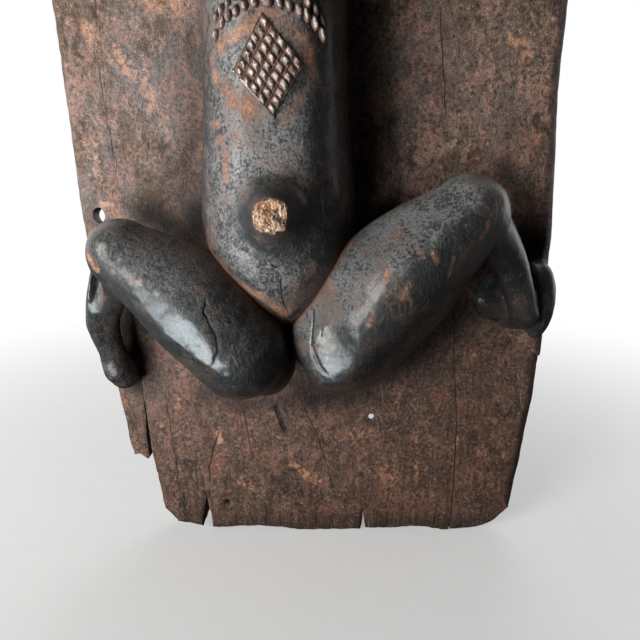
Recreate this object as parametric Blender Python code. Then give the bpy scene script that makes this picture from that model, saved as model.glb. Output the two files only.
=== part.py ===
"""Carved granary door: a plank leaf with a seated figure in high relief.

The leaf is worked as the three boards that its splits part it into. The figure is worked as its body,
limbs and head, which blind dowels hold to the boards. Left and right are the viewer's. The front faces
-Y, the back lies on y = 0, +Z is up, and the origin is on the back face behind the belly. Sizes are in
metres. A relief is a height above the front of the boards.
"""

import math

import bmesh
import bpy
import numpy as np
from mathutils import Vector

# Boards
BOARD_THICKNESS = 0.030
DOOR_WIDTH = 0.4385
DOOR_LEFT = -0.213
DOOR_RIGHT = DOOR_LEFT + DOOR_WIDTH
DOOR_TOP = 0.445
DOOR_FOOT = -0.421
SPLIT_GAP = 0.0008
EDGE_WEAR = 0.005
RIGHT_EDGE_WEAR = 0.010
# Lines down the left side, as (distance in from the door's left, z), and down the right side likewise
STRIP_EDGE = [(0.0, DOOR_TOP), (0.002, -0.070), (0.009, -0.180), (0.015, -0.248), (0.022, -0.318)]
STRIP_BREAK = [(0.024, -0.327), (0.031, -0.325), (0.038, -0.331)]
LEFT_SPLIT = [(0.036, DOOR_TOP), (0.0375, 0.05), (0.041, -0.250), (0.044, -0.331)]
LOWER_LEFT_EDGE = [(0.046, -0.350), (0.050, -0.395)]
RIGHT_EDGE = [(0.0195, DOOR_TOP), (0.0135, 0.020), (0.003, -0.100), (0.0, -0.180), (0.001, -0.262),
              (0.010, -0.392)]
# The slanting split, as (x, z)
RIGHT_SPLIT = [(0.068, DOOR_TOP), (0.107, 0.052), (0.119, -0.026), (0.149, -0.295), (0.1505, DOOR_FOOT)]
# The worn foot of the main board: places across it, and how far the wood stops above the lowest point
CENTRE_FOOT = [(-0.150, 0.010), (-0.122, 0.003), (-0.1165, 0.048), (-0.112, 0.002), (-0.060, 0.004),
               (-0.010, 0.0), (0.052, 0.0), (0.0545, 0.018), (0.058, 0.002), (0.110, 0.003)]
CORNER_INSET = 0.0235
CORNER_RISE = 0.014
PIVOT_RADIUS = 0.0125
PIVOT_HEIGHT = 0.045
PIVOT_INSET = 0.019
TIE_HOLE_WIDTH = 0.008
TIE_HOLE_HEIGHT = 0.013
TIE_HOLE_INSET = 0.0175
TIE_HOLE_Z = -0.082
NAIL_HOLE_RADIUS = 0.003
NAIL_HOLE_X = 0.0595
NAIL_HOLE_Z = -0.2826

# Figure
SEAT_GAP = 0.0003
FIGURE_X = -0.028
TORSO_WIDTH = 0.134
TORSO_RELIEF = 0.086
CROTCH_Z = -0.172
SHOULDER_Z = 0.228
# Shares: the height up the torso, the drift from the middle line in widths, the width, the relief
TORSO_SHARES = [(0.0, 0.09, 0.24, 0.30), (0.06, 0.075, 0.52, 0.58), (0.13, 0.037, 0.84, 0.83),
                (0.21, 0.007, 0.985, 0.97), (0.30, 0.0, 0.96, 1.0), (0.42, 0.0, 0.90, 0.94),
                (0.56, 0.0, 0.87, 0.91), (0.70, 0.0, 0.90, 0.86), (0.82, 0.0, 1.03, 0.76),
                (0.93, 0.0, 1.10, 0.58), (1.0, 0.0, 0.68, 0.42)]
SECTION_POWER = 2.35
NAVEL_Z = -0.080
NAVEL_BASE_RADIUS = 0.024
NAVEL_TIP_RADIUS = 0.0115
NAVEL_LENGTH = 0.036
NAVEL_DROOP = 0.004
LOZENGE_Z = 0.016
LOZENGE_WIDTH = 0.047
LOZENGE_HEIGHT = 0.064
LOZENGE_TILT = math.radians(5)
LOZENGE_COUNTS = (5, 7)
BAND_CLEARANCE = 0.0055
BAND_WIDTH = 0.019
BAND_DROP = 0.0165
BAND_REACH = math.radians(37)
BAND_COUNTS = (10, 2)
MARK_HEIGHT = 0.0026
MARK_GROOVE = 0.0014
MARK_BASE = 0.0012

# Limbs: centre lines as (x, relief, z), and their radii
LEFT_HIP = (-0.060, 0.036, -0.198)
LEFT_THIGH = (-0.1035, 0.046, -0.153)
LEFT_KNEE = (-0.153, 0.054, -0.1125)
LEFT_SHIN = (DOOR_LEFT + 0.026, 0.029, -0.170)
LEFT_ANKLE = (DOOR_LEFT + 0.0255, 0.016, -0.215)
LEFT_HEEL = (DOOR_LEFT + 0.0245, 0.017, -0.211)
LEFT_TOE = (DOOR_LEFT + 0.030, 0.010, -0.234)
RIGHT_HIP = (0.031, 0.038, -0.195)
RIGHT_THIGH = (0.075, 0.050, -0.1335)
RIGHT_KNEE = (0.124, 0.060, -0.079)
RIGHT_SHIN = (DOOR_RIGHT - 0.0575, 0.032, -0.119)
RIGHT_ANKLE = (DOOR_RIGHT - 0.030, 0.019, -0.171)
RIGHT_HEEL = (DOOR_RIGHT - 0.0125, 0.011, -0.139)
RIGHT_TOE = (DOOR_RIGHT - 0.0165, 0.010, -0.187)
HIP_RADIUS = 0.042
THIGH_RADIUS = 0.044
KNEE_RADIUS = 0.028
SHIN_RADIUS = 0.0155
ANKLE_RADIUS = 0.012
TOE_RADIUS = 0.013
SHOULDER_OUT = 0.087
SHOULDER_RELIEF = 0.019
ARM_Z = 0.198
ELBOW_INSET = 0.022
ELBOW_RELIEF = 0.017
ELBOW_Z = 0.128
WRIST_OUT = 0.058
WRIST_Z = 0.137
SHOULDER_RADIUS = 0.026
ELBOW_RADIUS = 0.0215
WRIST_RADIUS = 0.0145
FOREARM_SWELL = 0.004
PALM_REACH = 0.022
PALM_RISE = 0.002
FINGER_REACH = 0.026
FINGER_RISE = 0.004
FINGER_RADIUS = 0.0044
FINGER_COUNT = 4
NECK_WIDTH = 0.054
NECK_RELIEF = 0.047
NECK_Z = 0.196
CHIN_Z = 0.246
CHIN_RISE = 0.004
CROWN_MARGIN = 0.045
HEAD_WIDTH = 0.090
HEAD_RELIEF = 0.088
# Shares: the height up the head from chin to crown, the width, the relief
HEAD_SHARES = [(0.0, 0.40, 0.72), (0.07, 0.62, 0.88), (0.20, 0.82, 0.96), (0.38, 0.95, 0.98),
               (0.55, 1.0, 1.0), (0.70, 0.98, 0.96), (0.85, 0.82, 0.80), (0.95, 0.55, 0.58),
               (1.0, 0.28, 0.34)]
NOSE_RADIUS = 0.0095
MOUTH_WIDTH = 0.025
EYE_WIDTH = 0.021
EAR_HEIGHT = 0.034
HAIR_RIDGES = 5
HAIR_RADIUS = 0.0062

# Dowels
DOWEL_RADIUS = 0.005
DOWEL_CLEARANCE = 0.0003
DOWEL_COVER = 0.012
DOWEL_REACH = 0.020
LIMB_DOWEL_REACH = 0.013
UPPER_DOWEL_Z = 0.105
LOWER_DOWEL_Z = -0.045

# Fineness of the facets
ARC_STEPS = 22
THIGH_SIDES = 20
LIMB_SIDES = 16
HAIR_SIDES = 8
LUMP_SIDES = 10
FINGER_SIDES = 8
SMOOTH_STEPS = 3
DOME_STEPS = 3
DOWEL_SIDES = 12
OVERREACH = 0.02

FRONT = -BOARD_THICKNESS
SEAT = FRONT - SEAT_GAP
BAND_Z = LOZENGE_Z + (LOZENGE_HEIGHT + BAND_WIDTH) / 2 + BAND_CLEARANCE
CROWN_Z = DOOR_TOP - CROWN_MARGIN
HEAD_DOWEL_Z = (CHIN_Z + CROWN_Z) / 2
ELBOW_OUT = FIGURE_X - DOOR_LEFT - ELBOW_INSET


def clear_scene():
    """Remove whatever the file holds."""
    for item in list(bpy.data.objects):
        bpy.data.objects.remove(item, do_unlink=True)


def wood(name, colour, roughness):
    """A plain wood material."""
    material = bpy.data.materials.new(name)
    material.use_nodes = True
    shader = material.node_tree.nodes["Principled BSDF"]
    shader.inputs["Base Color"].default_value = (*colour, 1.0)
    shader.inputs["Roughness"].default_value = roughness
    shader.inputs["Metallic"].default_value = 0.0
    return material


def add_object(name, bm, material=None):
    """Turn a bmesh into a named object. Without a material it is a guide, which only cuts or joins."""
    bmesh.ops.recalc_face_normals(bm, faces=bm.faces)
    mesh = bpy.data.meshes.new(name)
    bm.to_mesh(mesh)
    bm.free()
    item = bpy.data.objects.new(name, mesh)
    bpy.context.collection.objects.link(item)
    if material is None:
        item.hide_render = True
        item.display_type = "WIRE"
    else:
        mesh.materials.append(material)
        mesh.shade_smooth()
        mesh.set_sharp_from_angle(angle=math.radians(40))
    return item


def combine(target, operand, operation):
    """Cut a guide from an object, or join it on."""
    modifier = target.modifiers.new(operand.name, "BOOLEAN")
    modifier.operation = operation
    modifier.solver = "EXACT"
    modifier.object = operand


def cut(target, *guides):
    """Take each guide's space out of an object."""
    for guide in guides:
        combine(target, guide, "DIFFERENCE")


def join(target, *guides):
    """Join each guide's shape onto an object."""
    for guide in guides:
        combine(target, guide, "UNION")


def loft(rings):
    """Skin closed rings of equal length, with a face over each end."""
    bm = bmesh.new()
    loops = [[bm.verts.new(point) for point in ring] for ring in rings]
    for low, high in zip(loops, loops[1:]):
        for here in range(len(low)):
            after = (here + 1) % len(low)
            bm.faces.new((low[here], low[after], high[after], high[here]))
    bm.faces.new(loops[0])
    bm.faces.new(loops[-1])
    return bm


def smoothed(stations):
    """Pass a smooth curve through stations of several numbers each."""
    points = np.array(stations, dtype=float)
    padded = np.vstack([2 * points[0] - points[1], points, 2 * points[-1] - points[-2]])
    curve = []
    for index in range(len(points) - 1):
        a, b, c, d = padded[index:index + 4]
        for step in range(SMOOTH_STEPS):
            t = step / SMOOTH_STEPS
            curve.append(b + 0.5 * t * (c - a + t * (2 * a - 5 * b + 4 * c - d + t * (3 * (b - c) + d - a))))
    curve.append(points[-1])
    return curve


def section_point(angle):
    """A point of the half-round section: its share across and its share outwards."""
    across = math.copysign(abs(math.cos(angle)) ** (2 / SECTION_POWER), math.cos(angle))
    out = max(math.sin(angle), 0.0) ** (2 / SECTION_POWER)
    return across, out


def relief_loft(stations, grow=0.0, behind=0.0):
    """Skin half-round sections (x, half width, relief, z) that stand on the boards or reach behind."""
    rings = []
    for x, half_width, relief, z in stations:
        ring = []
        for step in range(ARC_STEPS + 1):
            across, out = section_point(math.pi * step / ARC_STEPS)
            ring.append(Vector((x + (half_width + grow) * across, SEAT - (relief + grow) * out, z)))
        if behind:
            ring = [ring[0] + Vector((0, behind, 0))] + ring + [ring[-1] + Vector((0, behind, 0))]
        rings.append(ring)
    return loft(rings)


def limb(stations, sides=LIMB_SIDES, flatness=1.0):
    """Skin round sections (x, relief, z, radius) along a curved line, with domed ends."""
    curve = smoothed(stations)
    centres = [Vector((x, SEAT - relief, z)) for x, relief, z, _ in curve]
    radii = [float(station[3]) for station in curve]
    rings = []
    for index, (centre, radius) in enumerate(zip(centres, radii)):
        before = centres[max(index - 1, 0)]
        after = centres[min(index + 1, len(centres) - 1)]
        along = (after - before).normalized()
        if index == 0:
            rings += [ring_at(centre - along * radius * math.cos(turn), along, radius * math.sin(turn),
                              sides, flatness) for turn in dome_turns()]
        rings.append(ring_at(centre, along, radius, sides, flatness))
    rings += [ring_at(centre + along * radius * math.cos(turn), along, radius * math.sin(turn),
                      sides, flatness) for turn in reversed(dome_turns())]
    return loft(rings)


def dome_turns():
    """The angles at which a domed end has its rings, from the tip outwards."""
    return [math.pi / 2 * (step + 0.35) / (DOME_STEPS + 0.35) for step in range(DOME_STEPS)]


def ring_at(centre, along, radius, sides, flatness):
    """One ring square to its line, its first direction lying in the plane of the boards."""
    sideways = along.cross(Vector((0, -1, 0))).normalized()
    outwards = sideways.cross(along).normalized() * flatness
    return [centre + a * sideways + b * outwards for a, b in circle(radius, radius, sides)]


def ellipsoid(x, relief, z, radii):
    """A rounded lump with its own radius along each axis."""
    bm = bmesh.new()
    bmesh.ops.create_uvsphere(bm, u_segments=LUMP_SIDES, v_segments=LUMP_SIDES // 2 + 1, radius=1.0)
    for vert in bm.verts:
        vert.co = Vector((x, SEAT - relief, z)) + Vector([c * r for c, r in zip(vert.co, radii)])
    return bm


def circle(across, up, sides):
    """The points of a round or oval outline about its middle."""
    turns = [2 * math.pi * step / sides for step in range(sides)]
    return [(across * math.cos(turn), up * math.sin(turn)) for turn in turns]


def bar(x, z, depths, across, up):
    """A round or oval bar square to the boards, from one depth to another."""
    return loft([[Vector((x + dx, y, z + dz)) for dx, dz in circle(across, up, DOWEL_SIDES)] for y in depths])


def board(name, outline, worn_edges, material):
    """A board cut to an outline of (x, z) points, its front edges rounded by wear.

    worn_edges maps the index of an outline edge to the width worn off it.
    """
    bm = loft([[Vector((x, y, z)) for x, z in outline] for y in (0.0, FRONT)])
    bm.verts.ensure_lookup_table()
    front = bm.verts[len(outline):]
    share = bm.edges.layers.float.new("bevel_weight_edge")
    widest = max(worn_edges.values())
    for start, width in worn_edges.items():
        edge = bm.edges.get((front[start], front[(start + 1) % len(front)]))
        edge[share] = width / widest
    item = add_object(name, bm, material)
    wear = item.modifiers.new("worn_edges", "BEVEL")
    wear.limit_method = "WEIGHT"
    wear.width = widest
    wear.segments = 2
    return item


def shifted(line, offset):
    """A line of (x, z) points moved sideways."""
    return [(x + offset, z) for x, z in line]


def between(start, end, share):
    """A place part of the way from one point to another."""
    return tuple(a + (b - a) * share for a, b in zip(start, end))


def from_left(line, offset=0.0):
    """A line given by its distances in from the door's left side, moved sideways."""
    return [(DOOR_LEFT + inset + offset, z) for inset, z in line]


def from_right(line):
    """A line given by its distances in from the door's right side."""
    return [(DOOR_RIGHT - inset, z) for inset, z in line]


def centre_board(material):
    """The main board, from the left split to the right one."""
    left = from_left(LEFT_SPLIT)[::-1]
    right = shifted(RIGHT_SPLIT, -SPLIT_GAP)
    foot = [(x, DOOR_FOOT + rise) for x, rise in CENTRE_FOOT]
    outline = from_left(LOWER_LEFT_EDGE)[::-1] + left + right + foot[::-1]
    top = len(LOWER_LEFT_EDGE) + len(left) - 1
    return board("centre_board", outline, {top: EDGE_WEAR}, material)


def left_edge_strip(material):
    """The split-off hinge side: broken off below, with its pivot peg above."""
    outer = from_left(STRIP_EDGE)[::-1]
    inner = from_left(LEFT_SPLIT[:-1], -SPLIT_GAP)
    outline = outer + inner + from_left(STRIP_BREAK)[::-1]
    worn = {index: EDGE_WEAR for index in range(len(STRIP_EDGE) - 1)}
    strip = board("left_edge_strip", outline, worn, material)
    middle = FRONT / 2
    rings = []
    for z, share in ((DOOR_TOP - OVERREACH, 1.0), (DOOR_TOP + PIVOT_HEIGHT * 0.85, 0.9),
                     (DOOR_TOP + PIVOT_HEIGHT, 0.7)):
        rings.append([Vector((DOOR_LEFT + PIVOT_INSET + x, middle + y, z))
                      for x, y in circle(PIVOT_RADIUS * share, PIVOT_RADIUS * share, LIMB_SIDES)])
    join(strip, add_object("pivot_form", loft(rings)))
    return strip


def right_board(material):
    """The board right of the slanting split, its outer front edge and lower corner worn down."""
    split = shifted(RIGHT_SPLIT[::-1], SPLIT_GAP)
    corner = (DOOR_RIGHT - CORNER_INSET, DOOR_FOOT + CORNER_RISE)
    foot = (between(split[0], corner, 0.6)[0], between(split[0], corner, 0.35)[1])
    outline = split + from_right(RIGHT_EDGE) + [corner, foot]
    first = len(RIGHT_SPLIT)
    worn = {index: RIGHT_EDGE_WEAR for index in range(first, first + len(RIGHT_EDGE) - 1)}
    worn[first - 1] = EDGE_WEAR
    return board("right_board", outline, worn, material)


def drill_boards(strip, centre):
    """The lashing hole worn through the strip, and the nail hole through the main board."""
    depths = (OVERREACH, FRONT - OVERREACH)
    tie = bar(DOOR_LEFT + TIE_HOLE_INSET, TIE_HOLE_Z, depths, TIE_HOLE_WIDTH / 2, TIE_HOLE_HEIGHT / 2)
    cut(strip, add_object("tie_hole_form", tie))
    nail = bar(NAIL_HOLE_X, NAIL_HOLE_Z, depths, NAIL_HOLE_RADIUS, NAIL_HOLE_RADIUS)
    cut(centre, add_object("nail_hole_form", nail))


def torso_stations():
    """The torso's sections from crotch to shoulders."""
    height = SHOULDER_Z - CROTCH_Z
    form = [(FIGURE_X + TORSO_WIDTH * drift, TORSO_WIDTH / 2 * width, TORSO_RELIEF * relief,
             CROTCH_Z + height * up) for up, drift, width, relief in TORSO_SHARES]
    return smoothed(form)


def torso_section(z):
    """The torso's middle, half width and relief at a height."""
    x, half_width, relief, heights = np.array(torso_stations()).T
    return [float(np.interp(z, heights, column)) for column in (x, half_width, relief)]


def torso_relief(x, z):
    """How far the torso stands out at a place on its front."""
    middle, half_width, relief = torso_section(z)
    share = min(abs(x - middle) / half_width, 1.0)
    return relief * (1 - share ** SECTION_POWER) ** (1 / SECTION_POWER)


def mark_plate(place, counts):
    """A thin plate of raised marks laid on the torso.

    place turns two shares of the plate into an (x, z) place on the torso.
    """
    bm = bmesh.new()
    columns, rows = counts
    layers = []
    for lift in (SEAT_GAP * 2, MARK_BASE):
        grid = []
        for column in range(columns + 1):
            places = [place(column / columns, row / rows) for row in range(rows + 1)]
            grid.append([bm.verts.new((x, SEAT - torso_relief(x, z) - lift, z)) for x, z in places])
        layers.append(grid)
    under, over = layers
    marks = []
    for i in range(columns):
        for j in range(rows):
            marks.append(bm.faces.new((over[i][j], over[i + 1][j], over[i + 1][j + 1], over[i][j + 1])))
            bm.faces.new((under[i][j], under[i][j + 1], under[i + 1][j + 1], under[i + 1][j]))
    for i in range(columns):
        for j in (0, rows):
            bm.faces.new((under[i][j], under[i + 1][j], over[i + 1][j], over[i][j]))
    for j in range(rows):
        for i in (0, columns):
            bm.faces.new((under[i][j], under[i][j + 1], over[i][j + 1], over[i][j]))
    bmesh.ops.recalc_face_normals(bm, faces=bm.faces)
    for width, height in ((MARK_GROOVE / 2, 0.0), (MARK_GROOVE, MARK_HEIGHT)):
        bmesh.ops.inset_individual(bm, faces=marks, thickness=width, use_even_offset=True)
        for mark in marks:
            lift = mark.normal * height
            for vert in mark.verts:
                vert.co += lift
    return bm


def lozenge_place(across, down):
    """A place in the belly's lozenge, from its top corner along its two upper sides."""
    x = (across - down) * LOZENGE_WIDTH / 2
    z = (1 - across - down) * LOZENGE_HEIGHT / 2
    turned_x = x * math.cos(LOZENGE_TILT) - z * math.sin(LOZENGE_TILT)
    turned_z = x * math.sin(LOZENGE_TILT) + z * math.cos(LOZENGE_TILT)
    return FIGURE_X + turned_x, LOZENGE_Z + turned_z


def band_place(around, up):
    """A place in the arched band of marks above the lozenge."""
    angle = math.pi / 2 + BAND_REACH * (1 - 2 * around)
    across, _ = section_point(angle)
    z = BAND_Z - BAND_DROP * (2 * around - 1) ** 2 + BAND_WIDTH * (up - 0.5)
    middle, half_width, _ = torso_section(z)
    return middle + half_width * across, z


def navel(material, torso_form):
    """The projecting navel, its tip broken off."""
    start = torso_relief(FIGURE_X, NAVEL_Z)
    profile = [(-0.5, 1.15), (0.0, 1.0), (0.3, 0.70), (0.7, 0.40), (1.0, 0.22), (1.06, 0.0)]
    rings = []
    for along, flare in smoothed(profile)[:-SMOOTH_STEPS]:
        radius = NAVEL_TIP_RADIUS + (NAVEL_BASE_RADIUS - NAVEL_TIP_RADIUS) * max(flare - 0.22, 0.0) / 0.78
        y = SEAT - start - NAVEL_LENGTH * along
        z = NAVEL_Z - NAVEL_DROOP * along
        rings.append([Vector((FIGURE_X + dx, y, z + dz)) for dx, dz in circle(radius, radius, LIMB_SIDES)])
    item = add_object("navel", loft(rings), material)
    cut(item, torso_form)
    return item


def leg(side, material, hip, thigh, knee, shin, ankle, heel, toe):
    """A drawn-up leg: a thick thigh, a thin shin set back under the knee, and a foot on the boards."""
    upper = limb([(*hip, HIP_RADIUS), (*thigh, THIGH_RADIUS), (*knee, KNEE_RADIUS)], sides=THIGH_SIDES)
    lower = limb([(*between(knee, shin, 0.1), KNEE_RADIUS * 0.84), (*shin, SHIN_RADIUS),
                  (*ankle, ANKLE_RADIUS)])
    foot = limb([(*heel, ANKLE_RADIUS), (*between(heel, toe, 0.6), TOE_RADIUS * 1.15), (*toe, TOE_RADIUS)])
    item = add_object(f"{side}_leg", upper, material)
    join(item, add_object(f"{side}_shin_form", lower), add_object(f"{side}_foot_form", foot))
    return item


def arm(side, sign, material):
    """An arm bent at the elbow, with the hand laid flat on the chest."""
    shoulder = (FIGURE_X + sign * SHOULDER_OUT, SHOULDER_RELIEF, ARM_Z)
    elbow = (FIGURE_X + sign * ELBOW_OUT, ELBOW_RELIEF, ELBOW_Z)
    wrist_x = FIGURE_X + sign * WRIST_OUT
    wrist = (wrist_x, torso_relief(wrist_x, WRIST_Z) + WRIST_RADIUS * 0.9, WRIST_Z)
    palm_x = wrist_x - sign * PALM_REACH
    palm = (palm_x, torso_relief(palm_x, WRIST_Z) + WRIST_RADIUS * 0.35, WRIST_Z + PALM_RISE)
    upper = limb([(*shoulder, SHOULDER_RADIUS), (*between(shoulder, elbow, 0.5), SHOULDER_RADIUS * 0.88),
                  (*elbow, ELBOW_RADIUS)])
    x, relief, z = between(elbow, wrist, 0.5)
    fore = limb([(*elbow, ELBOW_RADIUS * 0.95), (x, relief + FOREARM_SWELL, z, ELBOW_RADIUS * 0.9),
                 (*wrist, WRIST_RADIUS)])
    item = add_object(f"{side}_arm", upper, material)
    join(item, add_object(f"{side}_forearm_form", fore))
    hand = limb([(*wrist, WRIST_RADIUS * 0.9), (*palm, WRIST_RADIUS * 1.25)], flatness=0.6)
    join(item, add_object(f"{side}_hand_form", hand))
    for finger in range(FINGER_COUNT):
        spread = (finger - (FINGER_COUNT - 1) / 2) * FINGER_RADIUS * 2.05
        stations = []
        for share in (0.0, 0.5, 1.0):
            x = palm_x - sign * FINGER_REACH * share
            z = palm[2] + spread * (1 + 0.1 * share) + FINGER_RISE * share
            stations.append((x, torso_relief(x, z) + FINGER_RADIUS * (0.75 - 0.25 * share), z,
                             FINGER_RADIUS * (1 - 0.15 * share)))
        join(item, add_object(f"{side}_finger_{finger}_form", limb(stations, sides=FINGER_SIDES)))
    return item


def head_stations():
    """The neck's and the head's sections, from the shoulders to the crown."""
    neck = [(FIGURE_X, NECK_WIDTH / 2, NECK_RELIEF, NECK_Z),
            (FIGURE_X, NECK_WIDTH / 2 * 0.92, NECK_RELIEF, CHIN_Z)]
    height = CROWN_Z - CHIN_Z
    form = [(FIGURE_X, HEAD_WIDTH / 2 * width, HEAD_RELIEF * relief, CHIN_Z + CHIN_RISE + height * up)
            for up, width, relief in HEAD_SHARES]
    return neck + smoothed(form)


def head_relief(x, z):
    """How far the head stands out at a place on its front."""
    _, half_width, relief, heights = np.array(head_stations()).T
    share = min(abs(x - FIGURE_X) / float(np.interp(z, heights, half_width)), 1.0)
    return float(np.interp(z, heights, relief)) * (1 - share ** SECTION_POWER) ** (1 / SECTION_POWER)


def head_height(up):
    """A height between the chin and the crown."""
    return CHIN_Z + (CROWN_Z - CHIN_Z) * up


def head(material):
    """The neck and head: a long nose, lidded eyes, a closed mouth, ears and combed hair."""
    item = add_object("head", relief_loft(head_stations()), material)
    brow, nose_tip = head_height(0.54), head_height(0.33)
    nose = [(FIGURE_X, head_relief(FIGURE_X, brow) - NOSE_RADIUS * 0.3, brow, NOSE_RADIUS * 0.6),
            (FIGURE_X, head_relief(FIGURE_X, nose_tip) + NOSE_RADIUS * 0.4, nose_tip, NOSE_RADIUS)]
    join(item, add_object("nose_form", limb(nose, sides=LUMP_SIDES)))
    mouth_z, eye_z, ear_z = head_height(0.17), head_height(0.44), head_height(0.42)
    mouth_relief = head_relief(FIGURE_X, mouth_z) - MOUTH_WIDTH * 0.04
    for name, lift in (("upper_lip", 0.17), ("lower_lip", -0.17)):
        lip = ellipsoid(FIGURE_X, mouth_relief, mouth_z + MOUTH_WIDTH * lift,
                        (MOUTH_WIDTH * 0.5, MOUTH_WIDTH * 0.26, MOUTH_WIDTH * 0.19))
        join(item, add_object(f"{name}_form", lip))
    for side, sign in (("left", -1), ("right", 1)):
        eye_x = FIGURE_X + sign * HEAD_WIDTH * 0.20
        eye = ellipsoid(eye_x, head_relief(eye_x, eye_z) - EYE_WIDTH * 0.1, eye_z,
                        (EYE_WIDTH * 0.5, EYE_WIDTH * 0.3, EYE_WIDTH * 0.28))
        ridge = ellipsoid(eye_x, head_relief(eye_x, brow) - EYE_WIDTH * 0.05, brow,
                          (EYE_WIDTH * 0.8, EYE_WIDTH * 0.28, EYE_WIDTH * 0.2))
        ear = ellipsoid(FIGURE_X + sign * HEAD_WIDTH * 0.475, HEAD_RELIEF * 0.42, ear_z,
                        (EAR_HEIGHT * 0.2, EAR_HEIGHT * 0.3, EAR_HEIGHT * 0.5))
        join(item, add_object(f"{side}_eye_form", eye), add_object(f"{side}_brow_form", ridge))
        join(item, add_object(f"{side}_ear_form", ear))
    for ridge in range(HAIR_RIDGES):
        join(item, add_object(f"hair_{ridge}_form", hair_ridge(ridge / (HAIR_RIDGES - 1) * 2 - 1)))
    return item


def hair_ridge(share):
    """One ridge of the combed hair, from the brow back to the crown, at its share of the head's width."""
    _, widths, _, heights = np.array(head_stations()).T
    stations = []
    for up in (0.68, 0.82, 0.93, 1.0):
        z = head_height(up)
        x = FIGURE_X + share * float(np.interp(z, heights, widths)) * 0.80
        stations.append((x, head_relief(x, z) - HAIR_RADIUS * 0.25, z, HAIR_RADIUS * (1.1 - 0.2 * up)))
    return limb(stations, sides=HAIR_SIDES)


def dowel(name, x, z, material, board, figure, reach):
    """A blind dowel, and its holes in the board and in the carving."""
    bottom = -DOWEL_COVER
    top = SEAT - reach
    item = add_object(f"{name}_dowel", bar(x, z, (bottom, top), DOWEL_RADIUS, DOWEL_RADIUS), material)
    hole_depths = (bottom + DOWEL_CLEARANCE, top - DOWEL_CLEARANCE)
    hole_radius = DOWEL_RADIUS + DOWEL_CLEARANCE
    guide = add_object(f"{name}_dowel_form", bar(x, z, hole_depths, hole_radius, hole_radius))
    cut(board, guide)
    cut(figure, guide)
    return item


def board_space():
    """The space that the boards fill, for cutting the back of the carving flat."""
    bm = bmesh.new()
    bmesh.ops.create_cube(bm, size=1.0)
    reach = 2 * (DOOR_TOP - DOOR_FOOT)
    for vert in bm.verts:
        vert.co = Vector((vert.co.x * reach, SEAT + (vert.co.y + 0.5) * reach, vert.co.z * reach))
    return add_object("board_space_form", bm)


def build():
    """Make every piece of the door."""
    clear_scene()
    board_wood = wood("board_wood", (0.16, 0.085, 0.05), 0.6)
    carved_wood = wood("carved_wood", (0.035, 0.028, 0.026), 0.42)
    raw_wood = wood("raw_wood", (0.30, 0.18, 0.10), 0.75)

    centre = centre_board(board_wood)
    strip = left_edge_strip(board_wood)
    right = right_board(board_wood)
    drill_boards(strip, centre)

    torso = add_object("torso", relief_loft(torso_stations()), carved_wood)
    torso_form = add_object("torso_form", relief_loft(torso_stations(), SEAT_GAP, OVERREACH))
    behind = board_space()
    navel(carved_wood, torso_form)
    add_object("belly_lozenge", mark_plate(lozenge_place, LOZENGE_COUNTS), carved_wood)
    add_object("chest_band", mark_plate(band_place, BAND_COUNTS), carved_wood)

    left_leg = leg("left", carved_wood, LEFT_HIP, LEFT_THIGH, LEFT_KNEE, LEFT_SHIN, LEFT_ANKLE,
                   LEFT_HEEL, LEFT_TOE)
    right_leg = leg("right", carved_wood, RIGHT_HIP, RIGHT_THIGH, RIGHT_KNEE, RIGHT_SHIN, RIGHT_ANKLE,
                    RIGHT_HEEL, RIGHT_TOE)
    left_arm = arm("left", -1, carved_wood)
    right_arm = arm("right", 1, carved_wood)
    face = head(carved_wood)
    for piece in (left_leg, right_leg, left_arm, right_arm, face):
        cut(piece, behind, torso_form)

    dowel("upper_torso", FIGURE_X, UPPER_DOWEL_Z, raw_wood, centre, torso, DOWEL_REACH)
    dowel("lower_torso", FIGURE_X, LOWER_DOWEL_Z, raw_wood, centre, torso, DOWEL_REACH)
    dowel("head", FIGURE_X, HEAD_DOWEL_Z, raw_wood, centre, face, DOWEL_REACH)
    dowel("left_hip", LEFT_HIP[0], LEFT_HIP[2], raw_wood, centre, left_leg, DOWEL_REACH)
    dowel("right_hip", RIGHT_HIP[0], RIGHT_HIP[2], raw_wood, centre, right_leg, DOWEL_REACH)
    left_foot = between(LEFT_HEEL, LEFT_TOE, 0.6)
    right_foot = between(RIGHT_HEEL, RIGHT_TOE, 0.6)
    dowel("left_foot", left_foot[0], left_foot[2], raw_wood, strip, left_leg, LIMB_DOWEL_REACH)
    dowel("right_foot", right_foot[0], right_foot[2], raw_wood, right, right_leg, LIMB_DOWEL_REACH)
    left_x, right_x = FIGURE_X - SHOULDER_OUT, FIGURE_X + SHOULDER_OUT
    dowel("left_shoulder", left_x, ARM_Z, raw_wood, centre, left_arm, LIMB_DOWEL_REACH)
    dowel("right_shoulder", right_x, ARM_Z, raw_wood, centre, right_arm, LIMB_DOWEL_REACH)
    left_x, right_x = FIGURE_X - ELBOW_OUT, FIGURE_X + ELBOW_OUT
    dowel("left_elbow", left_x, ELBOW_Z, raw_wood, strip, left_arm, LIMB_DOWEL_REACH)
    dowel("right_elbow", right_x, ELBOW_Z, raw_wood, right, right_arm, LIMB_DOWEL_REACH)


build()
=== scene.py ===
"""Dress the carved granary door: its split boards, the seated figure on them, the studio and the camera.

Left and right are the viewer's. The door's front faces -Y, its back lies on y = 0, +Z is up, and sizes are in
metres. A relief is a height above the front of the boards. Cracks and rubbed places are named by where the
photograph's 640 by 640 frame shows them, and are then found on the surface that carries them.
"""

import logging
import math
from dataclasses import dataclass, field
from enum import Enum
from typing import Sequence

import bpy
import numpy as np
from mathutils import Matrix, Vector
from mathutils.bvhtree import BVHTree
from mathutils.geometry import delaunay_2d_cdt
from mathutils.kdtree import KDTree


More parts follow.
